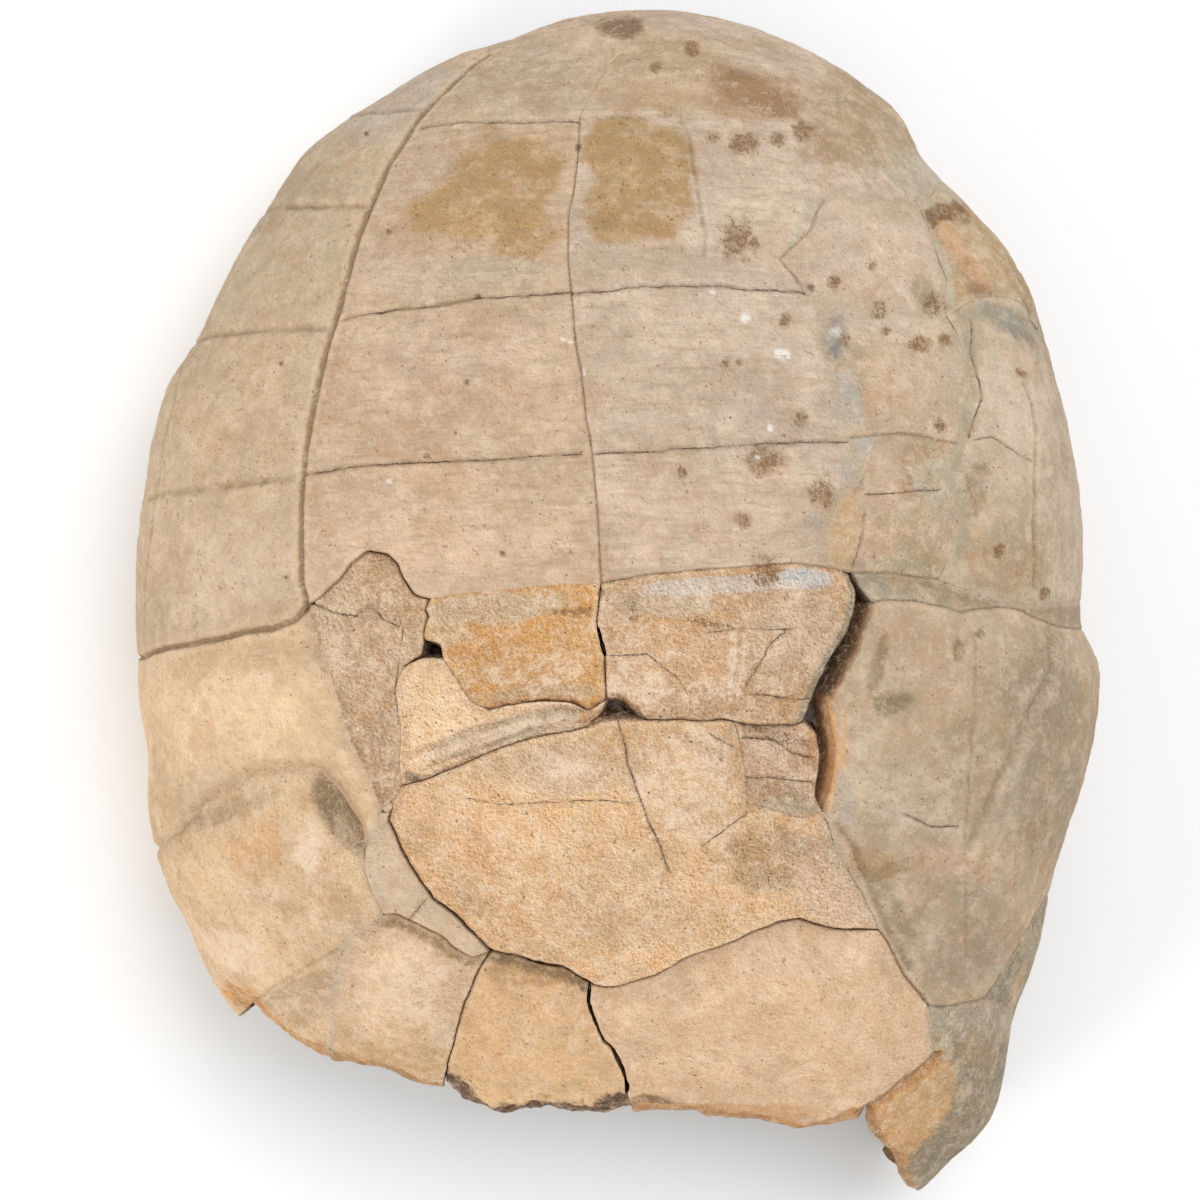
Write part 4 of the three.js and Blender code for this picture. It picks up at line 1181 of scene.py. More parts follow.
PLATES = (
    Plate(
        "left_flank", "side_bone",
        Patch(("suture_drop",), ("left_suture",), ("left_break",), ("arc_left_side",)), 0.0, "d1ba9c",
        "cab496", 101, rough=0.9, scars=0.25,
        stains=(
            Stain(380, 95, 90, 45, "c8baa8", 0.8), Stain(235, 400, 60, 70, "d6ba98", 0.7),
            Stain(215, 570, 70, 60, "d9c1a7", 0.8), Stain(285, 200, 60, 50, "c7b094", 0.6),
        ),
        grooves=(
            Groove("344,119 383,112 419,108", 6, 1.4, 0.2, 0.22, seed=201),
            Groove("262,212 296,207 319,205 368,206", 6, 1.5, 0.2, 0.22, seed=202),
            Groove("192,344 225,334 254,330 328,328", 6, 1.6, 0.2, 0.24, seed=203),
            Groove("148,498 177,492 216,487 254,482 300,477", 6, 1.6, 0.2, 0.24, seed=204),
            Groove(
                "196,350 183,364 172,402 162,444 158,481 154,498 151,529 145,580 143,640",
                5, 1.1, 0.2, 0.2, seed=205),
        )),
    Plate(
        "left_bulge", "side_bone",
        Patch(
            ("left_break",), ("left_suture_low", "strip_left"), ("corner_top",), ("arc_left_tail",)), 0.0,
        "e4c6a2", "dcbe9a", 102, rough=0.7, dome=1.2,
        stains=(
            Stain(240, 715, 60, 40, "eacca8", 0.8), Stain(190, 800, 50, 28, "d2b896", 0.8),
            Stain(320, 790, 30, 26, "caae8c", 0.7), Stain(280, 655, 60, 12, "d4b48e", 0.6),
        )),
    Plate(
        "left_corner_plate", "rim_bone",
        Patch(
            ("corner_top",), ("strip_left_low", "corner_edge"), ("corner_rim", "corner_drop"),
            ("arc_corner",)),
        1.0, "daba94", "dec09e", 103, rough=1.0, dome=0.8, scars=0.3,
        stains=(
            Stain(305, 1000, 48, 25, "b89e7e", 0.85, turn=-24, soft=0.2, ragged=0.2),
            Stain(258, 850, 30, 34, "d4a878", 0.85), Stain(225, 812, 54, 10, "a89270", 0.7, turn=-20),
            # The dark grey-brown stain at (338, 815) is a painted soft shadow in the hollow there.
            Stain(338, 815, 44, 15, "806e54", 0.85, turn=57, soft=0.6, ragged=0.3, dust=-0.1),
            Stain(309, 850, 16, 22, "ecd8c2", 0.35, dust=0.9),
            Stain(236, 952, 36, 18, "e4ccb2", 0.3, turn=30, dust=0.8),
            Stain(345, 905, 22, 26, "c8aa86", 0.5),
        ),
        grooves=(Groove("338,950 308,966 279,983 246,1008", 3, 0.9, 0.5, 0.3, seed=238),),
        broken=(Broken("corner_rim", 42, 4.0, "daa66e"),)),
    Plate(
        "left_back", "back_bone",
        Patch(
            ("arc_head",), ("midline_head", "midline"), ("left_ledge", "left_cross"),
            ("suture_drop", "left_suture")),
        1.0, "d1b69a", "ccb297", 104, rough=0.9, scars=0.4, streaks=0.4, ochre=0.15,
        stains=(
            Stain(520, 80, 90, 40, "c0ab92", 0.8),
            Stain(496, 186, 78, 66, "ba9462", 0.9, soft=0.5, ragged=0.9, square=2.6, size=30, dust=-0.2),
            Stain(420, 262, 66, 34, "d0b9a2", 0.7), Stain(470, 385, 100, 60, "d0b69c", 0.7),
            Stain(450, 525, 120, 55, "dcbfa1", 0.75), Stain(350, 500, 40, 70, "d5ba9e", 0.6),
            Stain(500, 268, 64, 13, "c4b29a", 0.7, soft=0.3),
        ),
        grooves=(
            Groove("420,126 464,121 514,120 577,120", 4, 1.0, 0.3, 0.34, seed=206, sharp=True),
            Groove(
                "343,319 382,311 422,306 475,298 525,295 570,291",
                3.4, 1.1, 0.3, 0.5, seed=207, sharp=True),
            Groove(
                "306,474 351,467 402,463 443,462 504,459 545,456 580,454",
                3.6, 1.1, 0.3, 0.5, seed=208, sharp=True),
            Groove("380,606 417,603 451,600 502,596 560,591", 2.4, 0.4, 0.1, 0.2, seed=209, sharp=True),
        )),
    Plate(
        "right_back", "back_bone",
        Patch(
            ("arc_shoulder",),
            ("shoulder_out", "shoulder_top", "shoulder_left", "side_upper_left", "side_middle_left"),
            ("right_cross",), ("midline_head", "midline")),
        1.0, "d0baa6", "cbb5a0", 105, rough=0.9, scars=0.4, streaks=0.6, ochre=0.12,
        stains=(
            Stain(660, 75, 90, 40, "bfa37f", 0.8),
            Stain(638, 180, 62, 66, "b4905e", 0.92, soft=0.3, ragged=0.6, square=3, size=20, dust=-0.2),
            Stain(642, 258, 68, 14, "c4b49e", 0.85, soft=0.3, square=4),
            Stain(690, 350, 110, 50, "ceb7a2", 0.7), Stain(790, 400, 50, 60, "cab7a6", 0.7),
            Stain(700, 510, 110, 50, "dac1aa", 0.8), Stain(862, 120, 64, 52, "aa9272", 0.85),
            Stain(922, 180, 34, 22, "c0b8a4", 0.75, turn=35), Stain(760, 205, 50, 46, "d5c1aa", 0.8),
            Stain(760, 95, 50, 26, "aa865e", 0.6), Stain(802, 235, 10, 42, "beb6a2", 0.75, turn=22),
            Stain(785, 285, 34, 10, "c4b6a4", 0.7),
        ),
        grooves=(
            Groove("581,117 640,116 680,115", 3, 0.7, 0.3, 0.2, seed=210),
            Groove(
                "571,292 597,291 642,286 687,285 723,286 764,290 806,292",
                3.4, 1.1, 0.3, 0.5, seed=211, sharp=True),
            Groove(
                "597,454 642,451 703,447 764,444 815,442 848,442",
                3.6, 1.1, 0.3, 0.5, seed=212, sharp=True),
            Groove("681,120 690,138 694,168 697,188 701,210 706,230 704,254", 3, 0.8, 0.3, 0.28, seed=213),
        )),
    Plate(
        "right_shoulder_plate", "pink_bone",
        Patch(("shoulder_top",), ("shoulder_right",), ("shoulder_foot",), ("shoulder_left",)), 1.0,
        "d2bca8", "ccb49e", 106, rough=0.9, dome=0.6, scars=0.4, streaks=0.3, ochre=0.15,
        stains=(Stain(925, 292, 12, 22, "968a6c", 0.6), Stain(880, 215, 40, 8, "beac92", 0.5))),
    Plate(
        "right_side_upper", "pink_bone",
        Patch(("shoulder_foot",), ("side_upper_right",), ("side_upper_foot",), ("side_upper_left",)), 0.5,
        "cdb8a2", "c4ac92", 107, rough=0.9, dome=0.8, scars=0.5, streaks=0.4,
        stains=(
            Stain(843, 365, 26, 22, "b0a088", 0.8), Stain(832, 340, 13, 24, "96928a", 0.8, turn=25),
            Stain(832, 338, 5, 13, "e4e2dc", 0.8, turn=30, ragged=0.9, size=4),
            Stain(846, 392, 17, 20, "b4b2aa", 0.85, turn=-30), Stain(870, 400, 14, 10, "c8a480", 0.5),
            Stain(948, 330, 10, 26, "a09274", 0.6),
        )),
    Plate(
        "right_side_middle", "pink_bone",
        Patch(
            ("side_upper_foot",), ("side_middle_right",), ("tan_strip_foot", "side_middle_foot"),
            ("side_middle_left",)),
        0.5, "c3a991", "bba085", 108, rough=1.0, dome=0.8, scars=0.4, streaks=0.3,
        stains=(
            Stain(843, 527, 17, 44, "c8a67c", 0.85, soft=0.25, square=4),
            Stain(852, 445, 20, 26, "b4b0a6", 0.8), Stain(858, 480, 12, 12, "8c826c", 0.6),
            Stain(925, 450, 24, 20, "a09072", 0.7), Stain(892, 568, 50, 9, "aca086", 0.7),
            Stain(932, 480, 26, 30, "96886a", 0.6), Stain(932, 478, 20, 21, "b4ac96", 0.9, soft=0.2),
            Stain(900, 520, 30, 9, "b0a288", 0.6), Stain(918, 548, 22, 22, "aca088", 0.6),
        ),
        grooves=(
            Groove("865,514 859,543 852,569", 2.4, 0.9, 0.2, 0.6, seed=214, sharp=True),
            Groove("867,494 900,492 939,490", 2.4, 0.8, 0.2, 0.5, seed=215, sharp=True),
        )),
    Plate(
        "right_margin_upper", "side_bone",
        Patch(("shoulder_out",), ("arc_margin_upper",), ("margin_ledge",), ("shoulder_right",)), 0.0,
        "b8a07f", "af9472", 109, rough=1.0, scars=0.4,
        stains=(
            Stain(936, 196, 26, 20, "b6ae98", 0.75),
            Stain(1008, 316, 42, 13, "969488", 0.95, turn=24, soft=0.3, ragged=0.8),
            Stain(966, 258, 52, 8, "cc9e76", 0.9, turn=53, soft=0.35, ragged=0.6),
            Stain(952, 238, 22, 5, "deb68e", 0.7, turn=53), Stain(984, 292, 18, 9, "8e6844", 0.7, turn=30),
            Stain(940, 214, 26, 9, "76522e", 0.9, turn=-16, soft=0.7, ragged=0.9, size=8, dust=-0.5),
            Stain(962, 216, 10, 7, "785c3a", 0.8, turn=40, ragged=0.9),
            Stain(1022, 307, 16, 6, "76624a", 0.6), Stain(1000, 250, 20, 40, "b89e76", 0.6, turn=-20),
        ),
        grooves=(
            Groove("936,212 950,236 963,258 980,282 1000,300", 26, 2.6, 0.5, 0.0, jag=1.2, seed=232),
            Groove("926,224 938,246 948,268 952,300", 12, 0.4, 0.2, 0.85, jag=1.2, seed=233, tone="beb6a0"),
        )),
    Plate(
        "right_margin_lower", "side_bone",
        Patch(
            ("margin_ledge",), ("arc_margin_lower",), ("band_top",),
            ("side_upper_right", "side_middle_right")),
        0.0, "cab8a0", "beaa91", 110, rough=1.0, scars=0.4,
        stains=(
            Stain(978, 490, 16, 30, "8e765a", 0.7), Stain(985, 585, 40, 10, "b0a68e", 0.7),
            Stain(1000, 548, 26, 38, "ceb89e", 0.7), Stain(1010, 400, 40, 60, "d4c2ac", 0.7),
            Stain(1010, 560, 40, 36, "ae987c", 0.8), Stain(1060, 470, 22, 90, "bdac96", 0.8),
            Stain(1000, 318, 30, 14, "b6ac96", 0.8), Stain(993, 488, 10, 17, "b8b09e", 0.85, soft=0.2),
            Stain(1012, 322, 40, 13, "929086", 0.95, turn=26, soft=0.3, ragged=0.8),
            Stain(1046, 345, 14, 26, "969082", 0.7, turn=-24),
        ),
        grooves=(
            Groove("1025,384 1033,401 1037,425 1035,480 1035,588", 5, 1.3, 0.3, 0.35, seed=216),
            Groove(
                "972,318 974,354 980,380 982,397 976,417 970,437", 3, 1.1, 0.3, 0.6, seed=217, sharp=True),
            Groove("974,440 994,437 1009,448 1033,462", 2.4, 0.6, 0.2, 0.4, seed=218, sharp=True),
            Groove(
                "966,318 972,350 974,384 968,420 960,450 952,478 956,505 968,528 958,560",
                14, 1.0, 0.3, 0.75, jag=1.6, seed=234, tone="aca28a"),
            Groove(
                "952,306 980,312 1010,316 1040,330", 14, 1.4, 0.3, 0.75, jag=1.2, seed=235, tone="b0a892"),
        )),
    Plate(
        "right_filler_band", "filler",
        Patch(("side_middle_foot", "band_top"), ("arc_band",), ("band_foot",), ("band_end",)), -1.5,
        "a59b85", "9d917b", 111, rough=0.7),
    Plate(
        "left_wedge_plate", "middle_bone",
        Patch(
            ("left_ledge",), ("middle_left_edge", "hole_left", "wedge_left", "lower_corner"),
            ("strip_top",), ("left_suture_low",)),
        -2.0, "c1a485", "b79979", 112, rough=1.0, scars=0.3, streaks=0.2,
        stains=(
            Stain(370, 580, 40, 22, "c4a482", 0.7), Stain(330, 640, 16, 30, "dec2a2", 0.6),
            Stain(402, 700, 10, 90, "d0b696", 0.7),
        ),
        hairlines=("396,606 402,630 398,655 394,690 398,725",),
        grooves=(
            Groove(
                "310,603 332,613 355,618 363,609 373,608 383,619 398,627",
                3, 1.1, 0.3, 0.5, seed=219, sharp=True),
        )),
    Plate(
        "middle_left_plate", "middle_bone",
        Patch(
            ("left_cross",), MIDLINE_LOW, ("diagonal_crack", "middle_left_foot"),
            ("middle_left_edge", "hole_top")),
        -0.5, "ce9556", "d09f66", 113, rough=0.9, dome=0.5, scars=0.3, chalk=0.1,
        stains=(
            Stain(490, 608, 66, 15, "c4ac8c", 0.9, turn=-5, soft=0.35),
            Stain(448, 632, 22, 14, "ccb090", 0.7), Stain(576, 612, 26, 5, "5a4634", 0.2, dust=-0.8),
            Stain(545, 694, 62, 9, "bea282", 0.8, turn=-3),
            Stain(558, 668, 40, 18, "e4ccb2", 0.15, turn=-10, ragged=0.9, size=14, dust=0.55),
            Stain(505, 672, 26, 12, "debe9c", 0.3, dust=0.4),
            Stain(500, 648, 44, 10, "be8c58", 0.5, turn=-12),
        ),
        broken=(Broken("middle_left_foot", 5, 1.6, "c48c54"),)),
    Plate(
        "left_wedge", "middle_bone",
        Patch(
            ("diagonal_crack", "middle_left_foot"), ("wedge_tip",), ("wedge_foot",),
            ("hole_foot", "wedge_left")),
        -3.0, "f4cea6", "eccaa6", 114, rough=0.8, dome=0.5, scars=0.2,
        stains=(
            Stain(432, 700, 24, 34, "ecc69c", 0.8), Stain(412, 777, 9, 5, "2c221a", 0.9),
            Stain(598, 717, 8, 7, "2c221a", 0.9), Stain(515, 727, 66, 7, "d8ccbc", 0.5, turn=-15, dust=0.4),
            Stain(500, 734, 90, 14, "cebaa2", 0.85, turn=-17.0), Stain(590, 716, 10, 8, "ce8e4e", 0.8),
        ),
        grooves=(
            Groove(
                "408,756 440,744 480,730 520,718 560,712 590,712",
                5, 1.4, 0.5, 0.4, jag=1.6, seed=236, tone="967e62"),
            Groove("420,772 470,752 530,730", 3, 0.9, 0.4, 0.4, jag=1.6, seed=237),
        )),
    Plate(
        "middle_right_plate", "middle_bone",
        Patch(
            ("right_cross", "tan_strip_foot"), ("middle_right_edge",),
            ("middle_right_nose", "middle_right_foot", "block_top"), MIDLINE_LOW),
        0.5, "cba179", "c7a17d", 115, rough=1.0, dome=0.5, scars=0.6, streaks=0.2,
        stains=(
            Stain(795, 640, 48, 60, "c8ac8e", 0.85, soft=0.3), Stain(655, 605, 60, 14, "bea88c", 0.8),
            Stain(655, 628, 46, 12, "c49462", 0.7), Stain(640, 684, 40, 26, "e0c4aa", 0.2, dust=0.6),
            Stain(737, 660, 9, 40, "e2c8b2", 0.3, ragged=0.8, size=10, dust=0.7),
            Stain(700, 690, 36, 16, "e2c6ae", 0.2, dust=0.5),
            Stain(712, 624, 28, 4, "5a4634", 0.3, turn=12, dust=-0.9),
            Stain(634, 612, 4, 14, "5a4634", 0.3, turn=10, dust=-0.8),
            Stain(735, 584, 98, 9, "d8cbbe", 0.95, turn=-4, soft=0.2, ragged=0.25, size=9, square=3),
            Stain(806, 578, 20, 11, "c2c6ca", 0.85, soft=0.3),
            Stain(764, 574, 15, 9, "b08c6c", 0.3, dust=-0.7),
        ),
        grooves=(
            Groove("744,625 741,650 738,676 734,700", 3, 0.8, 0.9, 0.15, jag=1.6, seed=240),
            Groove("786,632 772,644 764,658 751,679 747,685", 2.2, 0.8, 0.2, 0.6, seed=220, sharp=True),
            Groove("755,695 780,698 811,699", 2.2, 0.8, 0.2, 0.55, seed=221, sharp=True),
            Groove("710,632 735,629 792,629", 2.2, 0.5, 0.2, 0.35, seed=222, sharp=True),
            Groove("612,656 649,654 662,666 678,677 686,691", 2.2, 0.5, 0.2, 0.35, seed=223, sharp=True),
        ),
        broken=(
            Broken("middle_right_edge", 9, 2.0, "a0967e"), Broken("middle_right_nose", 6, 1.6, "96683e"),
        )),
    Plate(
        "right_ledge_block", "middle_bone",
        Patch(
            ("block_top",), ("block_edge",), ("block_foot",), ("block_left",)), -4.0, "d0ae90", "c5a486",
        116, rough=1.2, scars=0.4,
        stains=(
            Stain(785, 806, 34, 12, "aa9c82", 0.8), Stain(815, 745, 12, 30, "b07c4a", 0.7),
            Stain(785, 738, 30, 6, "5a4634", 0.3, turn=16, dust=-0.9),
            Stain(775, 790, 24, 8, "8c7054", 0.5),
        ),
        grooves=(
            Groove("744,738 770,741 786,748 812,758", 2.4, 0.8, 0.3, 0.6, jag=1.8, seed=241, sharp=True),
            Groove("747,778 776,778 813,783", 2.6, 0.9, 0.3, 0.6, seed=224, sharp=True),
        )),
    Plate(
        "lower_plate", "middle_bone",
        Patch(
            ("wedge_foot", "lower_top", "middle_right_foot", "block_left", "block_foot"),
            ("flank_edge_low",), ("lower_edge_centre", "lower_edge_right"),
            ("lower_corner", "lower_edge_left")),
        2.5, "ddb386", "d7af84", 117, rough=1.0, dome=1.0, scars=0.3, streaks=0.2,
        stains=(
            Stain(560, 770, 90, 26, "d4b79a", 0.6), Stain(465, 870, 50, 56, "d8ae83", 0.8),
            Stain(620, 905, 80, 50, "d6b392", 0.6), Stain(775, 862, 60, 34, "a68866", 0.9, dust=-0.15),
            Stain(835, 885, 40, 40, "d6b498", 0.8, soft=0.4), Stain(720, 760, 22, 20, "ba9c7c", 0.6),
            Stain(690, 790, 44, 56, "d8bca4", 0.3, ragged=0.8, size=20, dust=0.5),
            Stain(590, 764, 84, 26, "bea082", 0.6, soft=0.6),
            Stain(566, 768, 32, 13, "e8d0bc", 0.12, turn=22, ragged=0.9, size=12, dust=0.7),
            Stain(700, 745, 26, 6, "5a4634", 0.3, turn=28, dust=-0.9),
            Stain(470, 760, 60, 10, "d2b08c", 0.5, turn=-18), Stain(615, 735, 34, 10, "c49868", 0.5),
            Stain(852, 884, 26, 50, "debc9e", 0.85, turn=-27, soft=0.4),
            Stain(640, 965, 80, 16, "deb080", 0.7), Stain(420, 890, 22, 60, "e2b280", 0.6, turn=-38.0),
        ),
        grooves=(
            Groove(
                "618,722 622,738 627,760 633,779 643,805 651,826 660,846 668,870",
                2.6, 1.0, 0.2, 0.7, seed=225, sharp=True),
            Groove("468,799 502,804 553,802 600,800 635,803", 2.2, 0.35, 0.1, 0.25, seed=226, sharp=True),
            Groove("749,811 730,825 702,846", 2.0, 0.5, 0.1, 0.4, seed=227, sharp=True),
            Groove("711,734 731,744 743,754", 2.2, 0.8, 0.1, 0.5, seed=228, sharp=True),
        ),
        broken=(
            Broken("lower_edge_centre", 4, 1.2, "c49462"), Broken("lower_edge_left", 4, 1.0, "d6a068"),
        )),
    Plate(
        "right_flank_plate", "side_bone",
        Patch(
            ("band_foot",), ("arc_flank",), ("flank_foot",),
            ("flank_edge", "flank_edge_lit", "flank_edge_low", "rim_flank_crack")),
        1.0, "c2ac92", "b8a186", 118, rough=1.0, scars=0.4,
        stains=(
            Stain(915, 650, 50, 36, "c1a78d", 0.8), Stain(900, 765, 50, 40, "c5b199", 0.8),
            Stain(1046, 740, 42, 120, "a4947c", 0.85, soft=0.45, ragged=0.3),
            Stain(960, 930, 50, 50, "aa9982", 0.85),
            Stain(884, 704, 13, 14, "86785a", 0.85, ragged=0.9, size=8),
            Stain(904, 700, 12, 11, "86785a", 0.85, ragged=0.9, size=8),
            Stain(959, 651, 6, 12, "7c6a4e", 0.85), Stain(981, 633, 5, 5, "68563c", 0.9, soft=0.3),
            Stain(1062, 614, 14, 6, "d6c8b0", 0.6),
            Stain(880, 665, 7, 34, "806a50", 0.6, turn=14, ragged=0.8),
            Stain(845, 745, 4, 40, "deb084", 0.7, ragged=0.3),
            Stain(843, 850, 9, 66, "e0bea0", 0.9, turn=-27, soft=0.3),
            Stain(846, 800, 11, 30, "beae9c", 0.85, turn=-8, soft=0.3),
            Stain(876, 865, 26, 16, "b29064", 0.6, dust=-0.3),
            Stain(900, 815, 46, 9, "cebea8", 0.6, turn=12),
            Stain(900, 868, 34, 7, "967e5c", 0.7, turn=-20, ragged=0.8),
            Stain(940, 862, 36, 14, "ceaa8c", 0.5, ragged=0.8),
            Stain(893, 905, 9, 40, "928266", 0.6, turn=-32),
            Stain(935, 925, 10, 36, "c8b69c", 0.6, turn=24),
            Stain(1012, 790, 10, 34, "baac96", 0.7, turn=22),
        ),
        grooves=(
            Groove(
                "1051,632 1053,666 1044,686 1026,723 1008,764 993,795 981,821 971,846",
                10, 1.6, 0.5, 0.4, seed=229, tone="887860"),
            Groove("975,632 976,665 975,700 970,760 966,830 967,900 966,970", 3, 0.6, 0.4, 0.22, seed=242),
            Groove("906,815 918,821 934,827 959,827", 2.4, 0.8, 0.2, 0.5, seed=230, sharp=True),
            # This furrow's dark olive tone is painted shade beside the flank's pale edge.
            Groove(
                "838,826 856,852 870,884 890,930 912,968",
                7, 1.6, 0.4, 0.5, jag=1.4, seed=243, tone="847256"),
        ),
        broken=(Broken("flank_edge", 5, 2.0, "96704e"), Broken("flank_edge_lit", 5, 1.5, "e2b07e"))),
    Plate(
        "rim_right", "rim_bone",
        Patch(
            ("lower_edge_right",), ("rim_flank_crack", "fragment_side", "fragment_edge"),
            ("right_rim",), ("right_rim_crack",)),
        -2.0, "e2be9c", "dab692", 119, rough=0.9, dome=1.4, scars=0.25,
        stains=(
            # The near-black stain at (650, 1106) is painted shade in the recess between two plates.
            Stain(770, 1095, 80, 20, "d4b290", 0.6), Stain(650, 1106, 24, 11, "684c32", 0.9, soft=0.3),
            Stain(610, 1000, 10, 50, "d6b086", 0.5), Stain(730, 1112, 90, 9, "ce9c68", 0.8),
            Stain(800, 960, 60, 16, "dcbca0", 0.6),
        ),
        broken=(Broken("right_rim", 22, 2.6, "d09c66"), Broken("fragment_edge", 10, 2.0, "b08458"))),
    Plate(
        "rim_centre", "rim_bone",
        Patch(("lower_edge_centre",), ("right_rim_crack",), ("centre_rim",), ("left_rim_crack",)), -4.0,
        "e2b888", "dab282", 120, rough=0.9, dome=1.4, scars=0.25,
        # Painted shadow: the brown stain along the top lies under the lower plate's overhang, and the broken
        # slopes are painted dark as the shade under that overhang and on the rim's shaded underside.
        stains=(Stain(530, 975, 50, 12, "b68e62", 0.7),),
        broken=(Broken("centre_rim", 40, 6.0, "684a30"), Broken("lower_edge_centre", 12, 1.2, "a48460"))),
    Plate(
        "rim_left", "rim_bone",
        Patch(("strip_foot",), ("left_rim_crack",), ("left_rim",), ("corner_edge",)), -2.0, "d5b492",
        "ceac88", 121, rough=0.9, dome=1.4, scars=0.25,
        stains=(
            Stain(385, 1060, 70, 16, "c8a070", 0.75), Stain(352, 990, 14, 50, "ceb494", 0.6),
            Stain(405, 985, 40, 40, "e4ccb2", 0.2, dust=0.6),
        ),
        # The brown slope along the strip's foot is painted shadow under the strip's overhang.
        broken=(Broken("left_rim", 26, 3.0, "c49462"), Broken("strip_foot", 12, 1.2, "a88a68"))),
    Plate(
        "corner_fragment", "rim_bone",
        Patch(("flank_foot",), ("arc_fragment",), ("fragment_rim",), ("fragment_side", "fragment_edge")),
        # Its grey-green tone is partly the bone's own colour and partly painted cool shade of its side that
        # faces right.
        0.0, "8e846e", "989077", 122, rough=1.1, scars=0.3,
        stains=(
            Stain(972, 1022, 40, 18, "a69e8a", 0.9), Stain(948, 1050, 9, 12, "cebea2", 0.8),
            Stain(903, 1118, 72, 33, "d8a872", 0.95, turn=-50, soft=0.2, ragged=0.2),
            Stain(1029, 912, 8, 12, "bcae96", 0.7), Stain(1030, 950, 8, 14, "b8aa92", 0.7),
            Stain(1018, 990, 8, 12, "b8aa92", 0.7),
        ),
        broken=(Broken("fragment_edge", 12, 5.0, "d4a06a"), Broken("fragment_rim", 16, 3.0, "be8e5e"))),
    Plate(
        "left_filler_strip", "filler",
        Patch(("strip_top",), ("lower_edge_left",), ("strip_foot",), ("strip_left", "strip_left_low")),
        -2.0, "dcc5aa", "d2bca0", 123, rough=1.0, scars=0.4,
        grooves=(Groove("409,920 424,902", 2.4, 0.7, 0.1, 0.5, seed=231, sharp=True),)),
)

BROWN = "866032"
UMBER = "5c3e28"
WHITE = "f4f0e6"

# Small stains, chips and specks; the short rows give a place and a size in pixels
SPOTS = tuple(
    [Stain(x, y, r * 1.1, r * 0.9, BROWN, 0.5, turn=17.0 * index, soft=0.8, ragged=0.9, size=4.0, dust=-1.0)
     for index, (x, y, r) in enumerate((
        (743, 142, 13), (714, 135, 6), (778, 137, 7), (804, 129, 10), (738, 239, 19), (692, 48, 8),
        (656, 65, 6), (801, 419, 10), (787, 319, 6), (725, 363, 4), (739, 362, 4), (764, 461, 15),
        (821, 491, 14), (744, 522, 8), (681, 471, 5), (768, 572, 14), (835, 281, 7), (872, 266, 4),
        (880, 310, 9), (934, 303, 11), (846, 340, 5), (886, 330, 5), (921, 345, 9), (946, 339, 6),
        (1022, 373, 5), (941, 425, 6), (1047, 594, 7), (1000, 551, 6),
    ))]
    + [Stain(x, y, r, r, UMBER, 0.8, size=3.0, ragged=0.3) for x, y, r in (
        (502, 554, 3), (366, 133, 2.5), (388, 231, 2.5), (280, 363, 2.5), (285, 577, 2.5), (467, 382, 2.5),
        (578, 146, 4), (478, 296, 3), (427, 457, 3), (812, 288, 5), (601, 593, 4),
    )]
    + [Stain(x, y, r, r * 0.8, WHITE, 0.9, size=3.0, ragged=0.4) for x, y, r in (
        (713, 291, 3), (746, 317, 6), (783, 354, 8), (771, 428, 3), (758, 457, 3), (584, 371, 2.5),
        (563, 339, 2), (570, 342, 2), (389, 481, 2.5),
    )]
    + [
        Stain(755, 92, 52, 18, "926c42", 0.7, turn=24.0), Stain(620, 26, 26, 12, "704c2e", 0.8),
        Stain(832, 347, 8, 14, "807e78", 0.7),
        Stain(849, 408, 14, 20, "b0b2ac", 0.55), Stain(853, 470, 11, 15, "acaca4", 0.5),
        Stain(814, 521, 11, 10, "acaca4", 0.45), Stain(946, 504, 22, 22, "baae98", 0.6),
    ]
)


class Mixer:
    """A material's node tree, with short ways to add a node and join it to others."""

    def __init__(self, material: bpy.types.Material) -> None:
        """Keep the tree, and take the object's own coordinates."""
        self.tree = material.node_tree
        self.place = self.add("TexCoord").outputs["Object"]

    def add(self, kind: str, sockets: dict[str | int, object] | None = None,
            **options: str) -> bpy.types.Node:
        """Add a node.

        Args:
            kind: the node's type.
            sockets: what goes into its inputs, each a socket or a plain value.
            options: its own settings.

        Returns:
            The node.
        """
        node = self.tree.nodes.new(f"ShaderNode{kind}")
        for name, value in options.items():
            setattr(node, name, value)
        for name, value in (sockets or {}).items():
            if isinstance(value, bpy.types.NodeSocket):
                self.tree.links.new(value, node.inputs[name])
            else:
                node.inputs[name].default_value = value
        return node

    def noise(self, size: float, detail: float, roughness: float, squeeze: Triple = (1.0, 1.0, 1.0),
              shift: float = 0.0) -> bpy.types.NodeSocket:
        """Layered noise whose lumps are `size` millimetres across, drawn out where the squeeze is small."""
        place = self.add("Mapping", {"Vector": self.place, "Scale": squeeze, "Location": (shift, shift, 0.0)})
        return self.add("TexNoise", {"Vector": place.outputs["Vector"], "Scale": 1.0 / (size * METRES),
                                     "Detail": detail, "Roughness": roughness}).outputs["Fac"]

    def ramp(self, value: bpy.types.NodeSocket, low: float, high: float, first: float,
             last: float) -> bpy.types.NodeSocket:
        """Carry a value smoothly from the range low to high over to the range first to last."""
        return self.add("MapRange", {"Value": value, "From Min": low, "From Max": high, "To Min": first,
                                     "To Max": last}, interpolation_type="SMOOTHSTEP").outputs["Result"]

    def sum(self, operation: str, *values: object) -> bpy.types.NodeSocket:
        """One sum of one to three values."""
        return self.add("Math", dict(enumerate(values)), operation=operation).outputs[0]

    def laid(self, under: bpy.types.NodeSocket, over: np.ndarray,
             share: bpy.types.NodeSocket) -> bpy.types.NodeSocket:
        """Lay one flat colour over another by a share."""
        return self.add("Mix", {"Factor": share, "A": under, "B": (*over, 1.0)},
                        data_type="RGBA").outputs["Result"]


